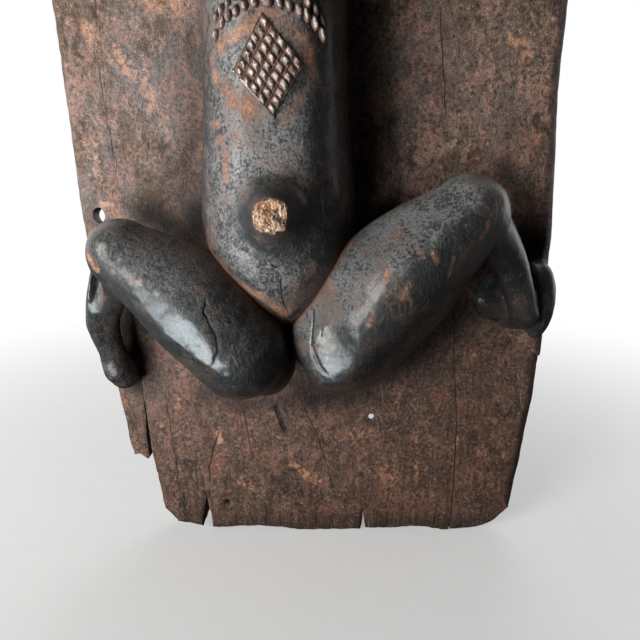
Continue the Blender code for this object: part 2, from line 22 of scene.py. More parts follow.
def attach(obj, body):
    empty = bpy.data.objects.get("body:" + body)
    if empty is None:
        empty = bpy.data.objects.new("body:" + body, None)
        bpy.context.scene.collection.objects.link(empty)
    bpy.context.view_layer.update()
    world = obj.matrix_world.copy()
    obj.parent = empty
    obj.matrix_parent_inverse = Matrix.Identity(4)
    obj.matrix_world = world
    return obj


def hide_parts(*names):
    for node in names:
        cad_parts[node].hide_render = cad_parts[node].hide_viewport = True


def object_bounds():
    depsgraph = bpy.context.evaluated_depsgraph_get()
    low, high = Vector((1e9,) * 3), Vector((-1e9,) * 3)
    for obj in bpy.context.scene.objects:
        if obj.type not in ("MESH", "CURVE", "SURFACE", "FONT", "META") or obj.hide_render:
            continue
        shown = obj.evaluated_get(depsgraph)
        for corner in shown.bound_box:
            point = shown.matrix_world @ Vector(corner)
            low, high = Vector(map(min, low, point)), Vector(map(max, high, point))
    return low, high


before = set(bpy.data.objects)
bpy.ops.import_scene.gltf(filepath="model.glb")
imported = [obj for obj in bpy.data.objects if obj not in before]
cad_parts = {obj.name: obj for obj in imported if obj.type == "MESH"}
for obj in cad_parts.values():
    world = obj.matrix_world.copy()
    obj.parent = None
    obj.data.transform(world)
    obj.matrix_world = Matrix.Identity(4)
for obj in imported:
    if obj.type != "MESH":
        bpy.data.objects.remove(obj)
CAD_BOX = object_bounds()

LOG = logging.getLogger("granary_door")
BODY = "root"

BOARD_THICKNESS = 0.030
FRONT = -BOARD_THICKNESS
SEAT = FRONT - 0.0003
SUNK = FRONT + 0.004
DOOR_TOP = 0.445
DOOR_FOOT = -0.421
DOOR_LEFT = -0.213
DOOR_RIGHT = 0.2255
FIGURE_X = -0.028

DOME_START = 0.12
LUMP_RINGS = 15
LUMP_SIDES = 28
CRACK_MARGIN = 0.004
CRACK_WANDER = 0.0008
CRACK_WAVE = 0.006
FACET_EASING = 8
SCRATCH_SCALE = (1000.0, 300.0, 48.0)
SHARP_ANGLE = math.radians(60)

Array = np.ndarray
Colour = tuple[float, float, float]
Place = tuple[float, float]
Point = tuple[float, float, float]


def gentle(value: Array | float, low: float, high: float) -> Array | float:
    """Rise smoothly from 0 at low to 1 at high."""
    share = np.clip((np.asarray(value) - low) / (high - low), 0.0, 1.0)
    return share * share * (3 - 2 * share)


def curve_through(stations: Sequence[Sequence[float]], steps: int) -> Array:
    """Pass a smooth curve through stations of several numbers each.

    Args:
        stations: the rows that the curve passes through.
        steps: how many rows replace each span.

    Returns:
        The rows of the curve, ends included.
    """
    points = np.array(stations, dtype=float)
    padded = np.vstack([2 * points[0] - points[1], points, 2 * points[-1] - points[-2]])
    shares = np.arange(steps)[:, None] / steps
    spans = []
    for a, b, c, d in zip(padded, padded[1:], padded[2:], padded[3:]):
        bend = 2 * a - 5 * b + 4 * c - d + shares * (3 * (b - c) + d - a)
        spans.append(b + 0.5 * shares * (c - a + shares * bend))
    return np.vstack([*spans, points[-1:]])


def squared(wave: Array, power: float) -> Array:
    """Make a round section's wave squarer as the power rises over 2."""
    return np.copysign(np.abs(wave) ** (2 / power), wave)


def on_plane(places: Array) -> Array:
    """Turn rows of x and z into points with y as 0."""
    return np.stack([places[:, 0], np.zeros(len(places)), places[:, 1]], 1)


def outwards(line: Array) -> Array:
    """Find the way out of a closed line, in x and z, at each of its points."""
    run = np.roll(line, -1, 0) - np.roll(line, 1, 0)
    return np.stack([run[:, 1], -run[:, 0]], 1) / np.maximum(np.linalg.norm(run, axis=1, keepdims=True), 1e-9)


def walled(near: Array, far: Array) -> Array:
    """Join two closed rows of point numbers by triangles.

    Args:
        near: the first row.
        far: the second row, as long.

    Returns:
        The triangles between them.
    """
    after, beyond = np.roll(near, -1), np.roll(far, -1)
    return np.vstack([np.stack([after, near, far], 1), np.stack([after, far, beyond], 1)])


def line_tree(rim: Array) -> KDTree:
    """Make the search tree of an outline.

    Args:
        rim: the outline's points, in x and z.

    Returns:
        The tree, over points with y as 0.
    """
    tree = KDTree(len(rim))
    for index, (x, z) in enumerate(rim.tolist()):
        tree.insert((x, 0, z), index)
    tree.balance()
    return tree


def struck(tree: BVHTree, x: Array, z: Array) -> tuple[Array, Array]:
    """Find where straight lines from in front meet a surface.

    Args:
        tree: the surface.
        x: where each line runs across.
        z: how high each line runs.

    Returns:
        The places that they meet, and the outward directions there.
    """
    found = [tree.ray_cast(Vector((here, -1.0, high)), Vector((0, 1, 0)))[:2]
             for here, high in zip(x.tolist(), z.tolist())]
    return np.array([met for met, _ in found]), np.array([way for _, way in found])


def beside(points: Array, path: Array) -> tuple[Array, Array, Array]:
    """Measure where points lie beside a path.

    Args:
        points: the points, one row each.
        path: the places that the path joins.

    Returns:
        Each point's distance from the path, its side of the path, and its share of the way along it.
    """
    best, side, run = np.full(len(points), 1.0), np.ones(len(points)), np.zeros(len(points))
    for index, (start, end) in enumerate(zip(path, path[1:])):
        line = end - start
        share = np.clip((points - start) @ line / max(line @ line, 1e-12), 0, 1)
        apart = points - start - share[:, None] * line
        gap = np.linalg.norm(apart, axis=1)
        closer = gap < best
        best = np.where(closer, gap, best)
        side = np.where(closer, np.sign(line[2] * apart[:, 0] - line[0] * apart[:, 2]), side)
        run = np.where(closer, (index + share) / (len(path) - 1), run)
    return best, side, run


def put(name: str, data: bpy.types.ID) -> bpy.types.Object:
    """Put an object into the scene.

    Args:
        name: its name.
        data: its mesh, lamp or camera.

    Returns:
        The object.
    """
    item = bpy.data.objects.new(name, data)
    bpy.context.scene.collection.objects.link(item)
    return item


class Noise:
    """Repeatable smooth noise over points in space."""

    @staticmethod
    def corner(cells: Array, seed: int) -> Array:
        """Give every whole-number cell its own number from -1 to 1.

        Args:
            cells: whole-number places, one row each.
            seed: which set of numbers to use.

        Returns:
            One number for each row.
        """
        mixed = cells @ np.array([73856093, 19349663, 83492791]) + seed * 91648253
        mixed = ((mixed ^ (mixed >> 13)) * 1274126177) & 0x7FFFFFFF
        mixed = ((mixed ^ (mixed >> 16)) * 668265263) & 0x7FFFFFFF
        return ((mixed >> 8) & 0xFFFF) / 32767.5 - 1.0

    @classmethod
    def smooth(cls, points: Array, size: float | Sequence[float], seed: int) -> Array:
        """Blend the corners' numbers over each cell.

        Args:
            points: places, one row each.
            size: a cell's size, or its size along each axis.
            seed: which set of numbers to use.

        Returns:
            A number from -1 to 1 for each point.
        """
        scaled = points / np.asarray(size)
        cells = np.floor(scaled).astype(np.int64)
        share = scaled - cells
        share = share * share * (3 - 2 * share)
        total = np.zeros(len(points))
        for step in np.ndindex(2, 2, 2):
            weight = np.prod(np.where(np.array(step), share, 1 - share), axis=1)
            total += weight * cls.corner(cells + np.array(step), seed)
        return total

    @classmethod
    def layered(cls, points: Array, size: float | Sequence[float], seed: int, layers: int = 3) -> Array:
        """Add layers of noise, each half as large and half as strong as the one before."""
        return sum(cls.smooth(points, np.asarray(size) / 2 ** k, seed + k) * 0.5 ** k for k in range(layers))


@dataclass(frozen=True)
class Crack:
    """A drying crack or a scratch: its line in the photograph's frame, its width and its depth."""

    line: tuple[Place, ...]
    width: float
    depth: float


@dataclass(frozen=True)
class Rub:
    """A place rubbed or chipped down to the wood: its line in the frame, its reach and its strength."""

    line: tuple[Place, ...]
    reach: float
    strength: float = 1.0


@dataclass(frozen=True)
class Facet:
    """A flat cut: its line in the frame, the way it faces, its depth, and how far and how fully it cuts."""

    line: tuple[Place, ...]
    way: Point
    depth: float
    reach: float
    full_reach: float = 0.35
    share: float = 0.78


@dataclass(frozen=True)
class Sight:
    """The photograph's camera: where it stands, how it tilts and what its frame spans."""

    place: Point = (0.007, -0.430, -0.077)
    tilt: float = math.radians(14.5)
    lens: float = 24.0
    sensor: float = 36.0
    span: int = 640
    closest: float = 0.02

    def along(self, across: float, down: float) -> Vector:
        """Find the direction in which a place of the frame is seen.

        Args:
            across: pixels from the frame's left.
            down: pixels from the frame's top.

        Returns:
            The direction, as long as one unit of depth needs.
        """
        reach = self.lens / self.sensor * self.span
        right, up = (across - self.span / 2) / reach, (self.span / 2 - down) / reach
        sine, cosine = math.sin(self.tilt), math.cos(self.tilt)
        return Vector((right, cosine + up * sine, up * cosine - sine))

    def traced(self, line: Sequence[Place], tree: BVHTree, stride: float = 2.5) -> Array:
        """Lay a line of the frame on a surface.

        Args:
            line: the places that the line joins.
            tree: the surface.
            stride: pixels between the points that are laid.

        Returns:
            The points on the surface, one row each.
        """
        found = []
        for start, end in zip(line, line[1:] + line[-1:]):
            count = max(int(math.dist(start, end) / stride), 1)
            for step in range(count):
                across, down = (a + (b - a) * step / count for a, b in zip(start, end))
                met = tree.ray_cast(Vector(self.place), self.along(across, down).normalized())[0]
                if met is not None:
                    found.append(met)
        return np.array(found).reshape(-1, 3)

    def camera(self) -> None:
        """Stand the camera where the photograph was taken from."""
        data = bpy.data.cameras.new("photograph_camera")
        data.lens, data.sensor_width, data.clip_start = self.lens, self.sensor, self.closest
        item = put("photograph_camera", data)
        item.location = self.place
        item.rotation_euler = (math.pi / 2 - self.tilt, 0.0, 0.0)
        bpy.context.scene.camera = item


class Shape:
    """A closed skin held as arrays while it is worked: points, triangles, and masks for the finish."""

    def __init__(self, points: Array, triangles: Array) -> None:
        """Take the points and the triangles over them, with no masks yet."""
        self.points = np.asarray(points, dtype=float)
        self.triangles = np.asarray(triangles, dtype=np.int64)
        self.masks: dict[str, Array] = {}

    @classmethod
    def lofted(cls, rings: Sequence[Array]) -> "Shape":
        """Skin closed rings of equal length, and close both ends.

        Args:
            rings: the rings in order, each with one row per point.

        Returns:
            The closed skin, facing out.
        """
        rows, count = len(rings), len(rings[0])
        points = np.vstack([*rings, rings[0].mean(0), rings[-1].mean(0)])
        here = np.arange(count)
        after = (here + 1) % count
        faces = [np.stack([np.full(count, rows * count), after, here], 1)]
        for low in range(0, (rows - 1) * count, count):
            high = low + count
            faces.append(np.stack([low + here, low + after, high + after], 1))
            faces.append(np.stack([low + here, high + after, high + here], 1))
        top = (rows - 1) * count
        faces.append(np.stack([np.full(count, rows * count + 1), top + here, top + after], 1))
        return cls(points, np.vstack(faces)).turned_out()

    @classmethod
    def joined(cls, parts: Sequence["Shape"]) -> "Shape":
        """Hold several skins as one.

        Args:
            parts: the skins.

        Returns:
            One shape with all their points, triangles and masks.
        """
        starts = np.cumsum([0] + [len(part.points) for part in parts[:-1]])
        whole = cls(np.vstack([part.points for part in parts]),
                    np.vstack([part.triangles + start for part, start in zip(parts, starts)]))
        for name in {name for part in parts for name in part.masks}:
            blank = [part.masks.get(name, np.zeros(len(part.points))) for part in parts]
            whole.masks[name] = np.concatenate(blank)
        return whole

    @classmethod
    def fused(cls, parts: Sequence["Shape"], cell: float) -> "Shape":
        """Fuse overlapping skins into one skin of even cells.

        Args:
            parts: the closed skins, which overlap.
            cell: the size of a cell.

        Returns:
            The fused skin.
        """
        mesh = cls.joined(parts).mesh("fusing")
        item = put("fusing", mesh)
        even = item.modifiers.new("even_cells", "REMESH")
        even.mode, even.voxel_size = "VOXEL", cell
        whole = item.evaluated_get(bpy.context.evaluated_depsgraph_get()).to_mesh()
        points = np.empty(len(whole.vertices) * 3)
        whole.vertices.foreach_get("co", points)
        whole.calc_loop_triangles()
        triangles = np.empty(len(whole.loop_triangles) * 3, dtype=np.int32)
        whole.loop_triangles.foreach_get("vertices", triangles)
        bpy.data.objects.remove(item, do_unlink=True)
        bpy.data.meshes.remove(mesh)
        return cls(points.reshape(-1, 3), triangles.reshape(-1, 3)).turned_out()

    def turned_out(self) -> "Shape":
        """Turn the triangles over if they face inwards.

        Returns:
            The same shape.
        """
        a, b, c = (self.points[self.triangles[:, k]] for k in range(3))
        if np.einsum("ij,ij->", a, np.cross(b, c)) < 0:
            self.triangles = self.triangles[:, ::-1].copy()
        return self

    def gathered(self, corners: Array, values: Array) -> Array:
        """Add rows of values up at the points that they belong to, which the corners number."""
        return np.stack([np.bincount(corners, column, len(self.points)) for column in values.T], 1)

    def normals(self) -> Array:
        """Find the outward direction at each point.

        Returns:
            The directions, one row each.
        """
        a, b, c = (self.points[self.triangles[:, k]] for k in range(3))
        across = np.cross(b - a, c - a)
        total = sum(self.gathered(self.triangles[:, k], across) for k in range(3))
        return total / np.maximum(np.linalg.norm(total, axis=1, keepdims=True), 1e-12)

    def eased(self, rounds: int, share: Array | float = 0.5) -> "Shape":
        """Ease the skin towards its neighbours' middle, round by round.

        Args:
            rounds: how many times to ease it.
            share: how far each time, for all points or for each.

        Returns:
            The same shape.
        """
        start, end = self.triangles.ravel(), self.triangles[:, [1, 2, 0]].ravel()
        count = np.maximum(np.bincount(start, minlength=len(self.points)), 1)[:, None]
        share = np.broadcast_to(np.asarray(share, dtype=float), len(self.points))[:, None]
        for _ in range(rounds):
            self.points = self.points + share * (self.gathered(start, self.points[end]) / count - self.points)
        return self

    def pushed(self, heights: Array) -> "Shape":
        """Raise each point along its outward direction, and give the shape back."""
        self.points = self.points + self.normals() * heights[:, None]
        return self

    def tree(self) -> BVHTree:
        """Make the search tree of the surface."""
        return BVHTree.FromPolygons(self.points.tolist(), self.triangles.tolist())

    def near(self, tree: BVHTree, reach: float) -> Array:
        """Measure how close each point lies to another surface.

        Args:
            tree: the other surface.
            reach: the distance past which it doesn't matter.

        Returns:
            A share for each point, 1 on the surface and 0 from the reach on.
        """
        gaps = np.full(len(self.points), reach)
        for index, point in enumerate(self.points.tolist()):
            gap = tree.find_nearest(point, reach)[3]
            if gap is not None:
                gaps[index] = gap
        return 1 - gaps / reach

    def rub(self, rubs: Sequence[Rub], sight: Sight, mask: str = "wear") -> "Shape":
        """Mark the places that were rubbed, bare or smooth, in a mask.

        Args:
            rubs: the places.
            sight: the camera that they were seen from.
            mask: the mask's name.

        Returns:
            The same shape.
        """
        tree, wear = self.tree(), self.masks.get(mask, np.zeros(len(self.points)))
        for rub in rubs:
            for spot in sight.traced(rub.line, tree):
                gap = np.linalg.norm(self.points - spot, axis=1)
                wear = np.maximum(wear, rub.strength * (1 - gentle(gap, 0.0, rub.reach)))
        self.masks[mask] = wear
        return self

    def cut(self, facets: Sequence[Facet], sight: Sight) -> "Shape":
        """Cut the skin flat in places.

        Args:
            facets: the cuts.
            sight: the camera that they were seen from.

        Returns:
            The same shape.
        """
        for facet in facets:
            spots = sight.traced(facet.line, self.tree())
            way = np.array(facet.way) / np.linalg.norm(facet.way)
            gap = np.min([np.linalg.norm(self.points - spot, axis=1) for spot in spots], axis=0)
            over = (self.points @ way - (np.mean(spots @ way) - facet.depth)).clip(0)
            held = 1 - gentle(gap, facet.full_reach * facet.reach, facet.reach)
            self.points -= way * (facet.share * over * held)[:, None]
        return self.eased(FACET_EASING) if facets else self

    def dust(self, way: Point = (-0.45, -0.35, 0.82), low: float = 0.10, high: float = 0.52) -> "Shape":
        """Mark the faces that look this way as greyed, dusted and with painted sheen, from low to high, and give the
        shape back.
        """
        self.masks["dust"] = gentle(self.normals() @ np.array(way), low, high)
        return self

    def crack(self, cracks: Sequence[Crack], sight: Sight) -> "Shape":
        """Sink cracks into the skin, and mark the side and the strength of each for the finish.

        Args:
            cracks: the cracks.
            sight: the camera that they were seen from.

        Returns:
            The same shape.
        """
        tree, count = self.tree(), len(self.points)
        nearest, side = np.full(count, 1.0), np.full(count, 9.0)
        strength, sink = np.zeros(count), np.zeros(count)
        for crack in cracks:
            path = sight.traced(crack.line, tree)
            if len(path) < 2:
                continue
            wander = np.stack([Noise.layered(path, CRACK_WAVE, 5), Noise.layered(path, CRACK_WAVE, 9)], 1)
            path = path + CRACK_WANDER * on_plane(wander)
            margin = CRACK_MARGIN + crack.width
            low, high = path.min(0) - margin, path.max(0) + margin
            chosen = np.flatnonzero(((self.points > low) & (self.points < high)).all(1))
            best, turn, run = beside(self.points[chosen], path)
            taper = gentle(run, 0.0, 0.10) * (1 - gentle(run, 0.82, 1.0))
            closer = best < nearest[chosen]
            picked = chosen[closer]
            nearest[picked] = best[closer]
            side[picked] = (turn * best / (crack.width / 2 * (0.3 + 0.7 * taper)))[closer]
            strength[picked] = (taper * (1 - gentle(best, margin * 0.6, margin)))[closer]
            depth = crack.depth * taper * np.exp(-(best / crack.width) ** 2)
            sink[chosen] = np.maximum(sink[chosen], depth)
        self.pushed(-sink)
        self.masks["crack_side"], self.masks["crack_strength"] = side, strength
        return self

    def mesh(self, name: str) -> bpy.types.Mesh:
        """Turn the arrays into a mesh with its masks.

        Args:
            name: the mesh's name.

        Returns:
            The mesh.
        """
        mesh = bpy.data.meshes.new(name)
        mesh.from_pydata(self.points.tolist(), [], self.triangles.tolist())
        for mask, values in self.masks.items():
            layer = mesh.attributes.new(mask, "FLOAT", "POINT")
            layer.data.foreach_set("value", values.astype(np.float32))
        mesh.shade_smooth()
        mesh.set_sharp_from_angle(angle=SHARP_ANGLE)
        return mesh

    def piece(self, name: str, material: bpy.types.Material, slot: str, node: str) -> None:
        """Set the shape up as a piece of the door.

        Args:
            name: the piece's name.
            material: its finish.
            slot: the record's material slot; not used.
            node: the solid that it stands for.
        """
        mesh = self.mesh(name)
        mesh.materials.append(material)
        item = put(name, mesh)
        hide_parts(node)
        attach(item, BODY)
        LOG.info("%s: %d triangles", name, len(self.triangles))


class Wire:
    """A shader socket that can be reckoned with: each operator adds one Math node."""

    def __init__(self, graph: "Graph", socket: bpy.types.NodeSocket) -> None:
        """Hold a socket of a graph."""
        self.graph, self.socket = graph, socket

    def reckon(self, operation: str, *values: "Value") -> "Wire":
        """Add one Math node over these values."""
        return self.graph.node("ShaderNodeMath", {"operation": operation}, dict(enumerate(values)))

    def __add__(self, other: "Value") -> "Wire":
        """Add."""
        return self.reckon("ADD", self, other)

    def __radd__(self, other: "Value") -> "Wire":
        """Add from the left."""
        return self.reckon("ADD", other, self)

    def __sub__(self, other: "Value") -> "Wire":
        """Take away."""
        return self.reckon("SUBTRACT", self, other)

    def __rsub__(self, other: "Value") -> "Wire":
        """Take this away from the left."""
        return self.reckon("SUBTRACT", other, self)

    def __mul__(self, other: "Value") -> "Wire":
        """Multiply."""
        return self.reckon("MULTIPLY", self, other)

    def __rmul__(self, other: "Value") -> "Wire":
        """Multiply from the left."""
        return self.reckon("MULTIPLY", other, self)

    def __abs__(self) -> "Wire":
        """Drop the sign."""
        return self.reckon("ABSOLUTE", self)

    def most(self, other: "Value") -> "Wire":
        """Keep the larger."""
        return self.reckon("MAXIMUM", self, other)

    def rise(self, low: float, high: float) -> "Wire":
        """Rise smoothly from 0 at low to 1 at high."""
        return self.graph.node("ShaderNodeMapRange", {"interpolation_type": "SMOOTHSTEP"},
                               {"Value": self, "From Min": low, "From Max": high})


Value = Wire | float | Sequence[float]


class Graph:
    """A node tree, and the one way to add a node to it."""

    def __init__(self, tree: bpy.types.NodeTree) -> None:
        """Start on an emptied tree."""
        self.tree = tree
        tree.nodes.clear()

    def node(self, kind: str, settings: dict | None = None, inputs: dict | None = None,
             output: int | str = 0) -> Wire:
        """Add a node.

        Args:
            kind: the node's type.
            settings: its own settings, which are set first.
            inputs: a value or a wire for each socket, by name or number.
            output: the socket to give back.

        Returns:
            The wire from that socket.
        """
        made = self.tree.nodes.new(kind)
        for name, value in (settings or {}).items():
            setattr(made, name, value)
        for key, value in (inputs or {}).items():
            socket = made.inputs[key]
            if isinstance(value, Wire):
                self.tree.links.new(value.socket, socket)
            elif socket.type == "RGBA":
                socket.default_value = (*value[:3], 1.0)
            else:
                socket.default_value = value
        return Wire(self, made.outputs[output]) if len(made.outputs) else Wire(self, None)

    def place(self) -> Wire:
        """Give the point's own place on the piece."""
        return self.node("ShaderNodeTexCoord", output="Object")

    def along(self, place: Wire, axis: str) -> Wire:
        """Read a place along one axis."""
        return self.node("ShaderNodeSeparateXYZ", {}, {0: place}, axis)

    def stretch(self, place: Wire, scale: Sequence[float]) -> Wire:
        """Scale a place along each axis."""
        return self.node("ShaderNodeVectorMath", {"operation": "MULTIPLY"}, {0: place, 1: scale})

    def noise(self, place: Wire, scale: float, detail: float = 3.0, rough: float = 0.55,
              twist: float = 0.0) -> Wire:
        """Add a noise texture: how fine it is, its finer layers, their strength and its twist."""
        return self.node("ShaderNodeTexNoise", {"noise_dimensions": "3D"},
                         {"Vector": place, "Scale": scale, "Detail": detail, "Roughness": rough,
                          "Distortion": twist})

    def scratches(self, place: Wire, turn: float) -> Wire:
        """Scatter thin straight scratches, turned this far in the plane of the boards."""
        turned = self.node("ShaderNodeMapping", {}, {"Vector": place, "Rotation": (0.0, turn, 0.0),
                                                     "Scale": SCRATCH_SCALE})
        return self.noise(turned, 1.0, 1.0, 0.4).rise(0.70, 0.77)

    def mask(self, name: str) -> Wire:
        """Read one of the shape's masks."""
        return self.node("ShaderNodeAttribute", {"attribute_name": name}, output="Fac")

    def tint(self, colour: Value, *layers: tuple[Value, Value]) -> Wire:
        """Lay colours over each other.

        Args:
            colour: the colour underneath.
            layers: each layer's share and its colour, lowest first.

        Returns:
            The blended colour.
        """
        for share, shade in layers:
            colour = self.node("ShaderNodeMix", {"data_type": "RGBA", "clamp_factor": True},
                               {0: share, 6: colour, 7: shade}, 2)
        return colour

    def bump(self, *layers: tuple[Wire, float], under: Wire | None = None) -> Wire:
        """Tilt the surface by layers of heights.

        Args:
            layers: each layer's height, from 0 to 1, and what a height of 1 measures.
            under: the tilt that they add to.

        Returns:
            The tilted direction.
        """
        for height, distance in layers:
            below = {} if under is None else {"Normal": under}
            under = self.node("ShaderNodeBump", {},
                              {"Strength": 1.0, "Distance": distance, "Height": height, **below})
        return under

    def cracks(self) -> Wire:
        """Read where the shape's cracks are open."""
        return self.mask("crack_strength") * (1 - abs(self.mask("crack_side")).rise(0.6, 1.4))

    def surface(self, **inputs: Value) -> None:
        """Set up the shader, with _ for a space in its sockets' names, and the output."""
        shader = self.node("ShaderNodeBsdfPrincipled", {},
                           {name.replace("_", " "): value for name, value in inputs.items()})
        self.node("ShaderNodeOutputMaterial", {}, {"Surface": shader})


def new_material(name: str) -> tuple[bpy.types.Material, Graph]:
    """Start a material.

    Args:
        name: its name.

    Returns:
        The material and its emptied graph.
    """
    material = bpy.data.materials.new(name)
    material.use_nodes = True
    return material, Graph(material.node_tree)


@dataclass(frozen=True)
class AgedBoard:
    """The door's old plank: brown and slate blotches, fine pits and flecks, patches rubbed down to the wood, and
    painted shade beside and under the figure.
    """

    name: str = "aged_board"
    brown: Colour = (0.190, 0.117, 0.080)
    slate: Colour = (0.202, 0.171, 0.157)
    salmon: Colour = (0.420, 0.227, 0.170)
    warm: Colour = (0.128, 0.060, 0.034)
    rust: Colour = (0.400, 0.180, 0.108)
    tan: Colour = (0.600, 0.350, 0.205)
    pale: Colour = (0.660, 0.550, 0.470)
    dark: Colour = (0.030, 0.021, 0.017)
    # the near-black of the painted shade
    soot: Colour = (0.009, 0.007, 0.006)
    red: Colour = (0.250, 0.095, 0.052)
    gap: Colour = (0.006, 0.004, 0.004)

    def material(self) -> bpy.types.Material:
        """Mix blotches, grains, pits, scratches, rubbed patches and painted shade.

        Returns:
            The finish.
        """
        material, graph = new_material(self.name)
        place = graph.place()
        soft = graph.stretch(place, (1.0, 1.0, 0.70))
        big = graph.noise(soft, 19.0, 4.0, 0.60, 0.6)
        patch = graph.noise(soft, 44.0, 5.0, 0.66, 0.8)
        mid = graph.noise(soft, 95.0, 6.0, 0.70, 0.4)
        fine = graph.noise(place, 320.0, 5.0, 0.72)
        speck = graph.noise(place, 1050.0, 3.0, 0.66)
        fibre = graph.noise(graph.stretch(place, (1.0, 1.0, 0.06)), 700.0, 3.0, 0.6)
        nick = graph.scratches(place, 0.6).most(graph.scratches(place, -1.0))
        nick = nick.most(graph.scratches(place, 0.06))
        low = 1 - graph.along(place, "Z").rise(-0.32, 0.0)
        right = graph.along(place, "X").rise(0.0, 0.12)
        wear, edge, foot, soot, back = map(graph.mask, ("wear", "edge", "foot", "soot", "back"))
        crack = graph.cracks()
        broken = crack * (0.35 + fine.rise(0.36, 0.58) * 0.65)
        flake = (wear * 0.72 + (fine - 0.5) * 1.7 + (mid - 0.5) * 1.5 + (speck - 0.5) * 0.8).rise(0.36, 0.90)
        grain = graph.tint(self.dark, ((fibre * 0.6 + big * 0.2 + mid * 0.2).rise(0.38, 0.60), self.brown))
        shaded = low.most(right)
        colour = graph.tint(
            self.brown,
            ((big * 0.6 + patch * 0.25 + mid * 0.15).rise(0.45, 0.55) * (1 - right * 0.7), self.slate),
            (low * 0.80, self.warm),
            ((patch * 0.55 + mid * 0.25 + fine * 0.20).rise(0.47, 0.585) * (0.92 - low * 0.50), self.salmon),
            ((big * 0.2 + patch * 0.45 + fine * 0.35).rise(0.55, 0.66) * 0.5, self.rust),
            ((1 - (big * 0.4 + mid * 0.6).rise(0.38, 0.49)) * 0.72, self.dark),
            ((big * 0.35 + patch * 0.45 + fine * 0.20).rise(0.50, 0.60) * low * 0.55, self.red),
            ((foot * 0.9 + (mid - 0.5) * 1.6 + (fine - 0.5)).rise(0.45, 1.15) * 0.8, self.dark),
            ((1 - fine.rise(0.37, 0.49)) * (0.50 + shaded * 0.30), self.dark),
            ((1 - speck.rise(0.38, 0.50)) * 0.52, self.dark),
            ((fine * 0.5 + speck * 0.5).rise(0.54, 0.65) * (0.46 + shaded * 0.14), self.pale),
            ((1 - fibre.rise(0.34, 0.50)) * (0.06 + foot * 0.4), self.dark),
            (nick * 0.30, self.pale),
            (flake * 0.80, self.rust),
            ((flake * 0.5 + speck * 0.8 + wear * 0.1).rise(0.82, 1.04) * 0.8, self.tan),
            ((speck * 0.7 + fine * 0.3).rise(0.66, 0.72) * 0.7, self.pale),
            (back * 0.72, grain),
            (edge, self.dark),
            # painted shade: near-black laid in the corners beside and under the figure, where shade falls
            (soot * (0.80 + mid * 0.2), self.soot),
            (broken * 0.95, self.gap))
        rough = 0.56 - big.rise(0.42, 0.60) * 0.10 + flake * 0.14 + speck * 0.12 - edge * 0.12 + soot * 0.2
        tilt = graph.bump((speck, 0.00085), (fine, 0.00140), (mid, 0.00110),
                          (1 - crack.most(nick * 0.25).most(flake * 0.3), 0.0009))
        graph.surface(Base_Color=colour, Roughness=rough, Normal=tilt, Specular_IOR_Level=0.40)
        return material


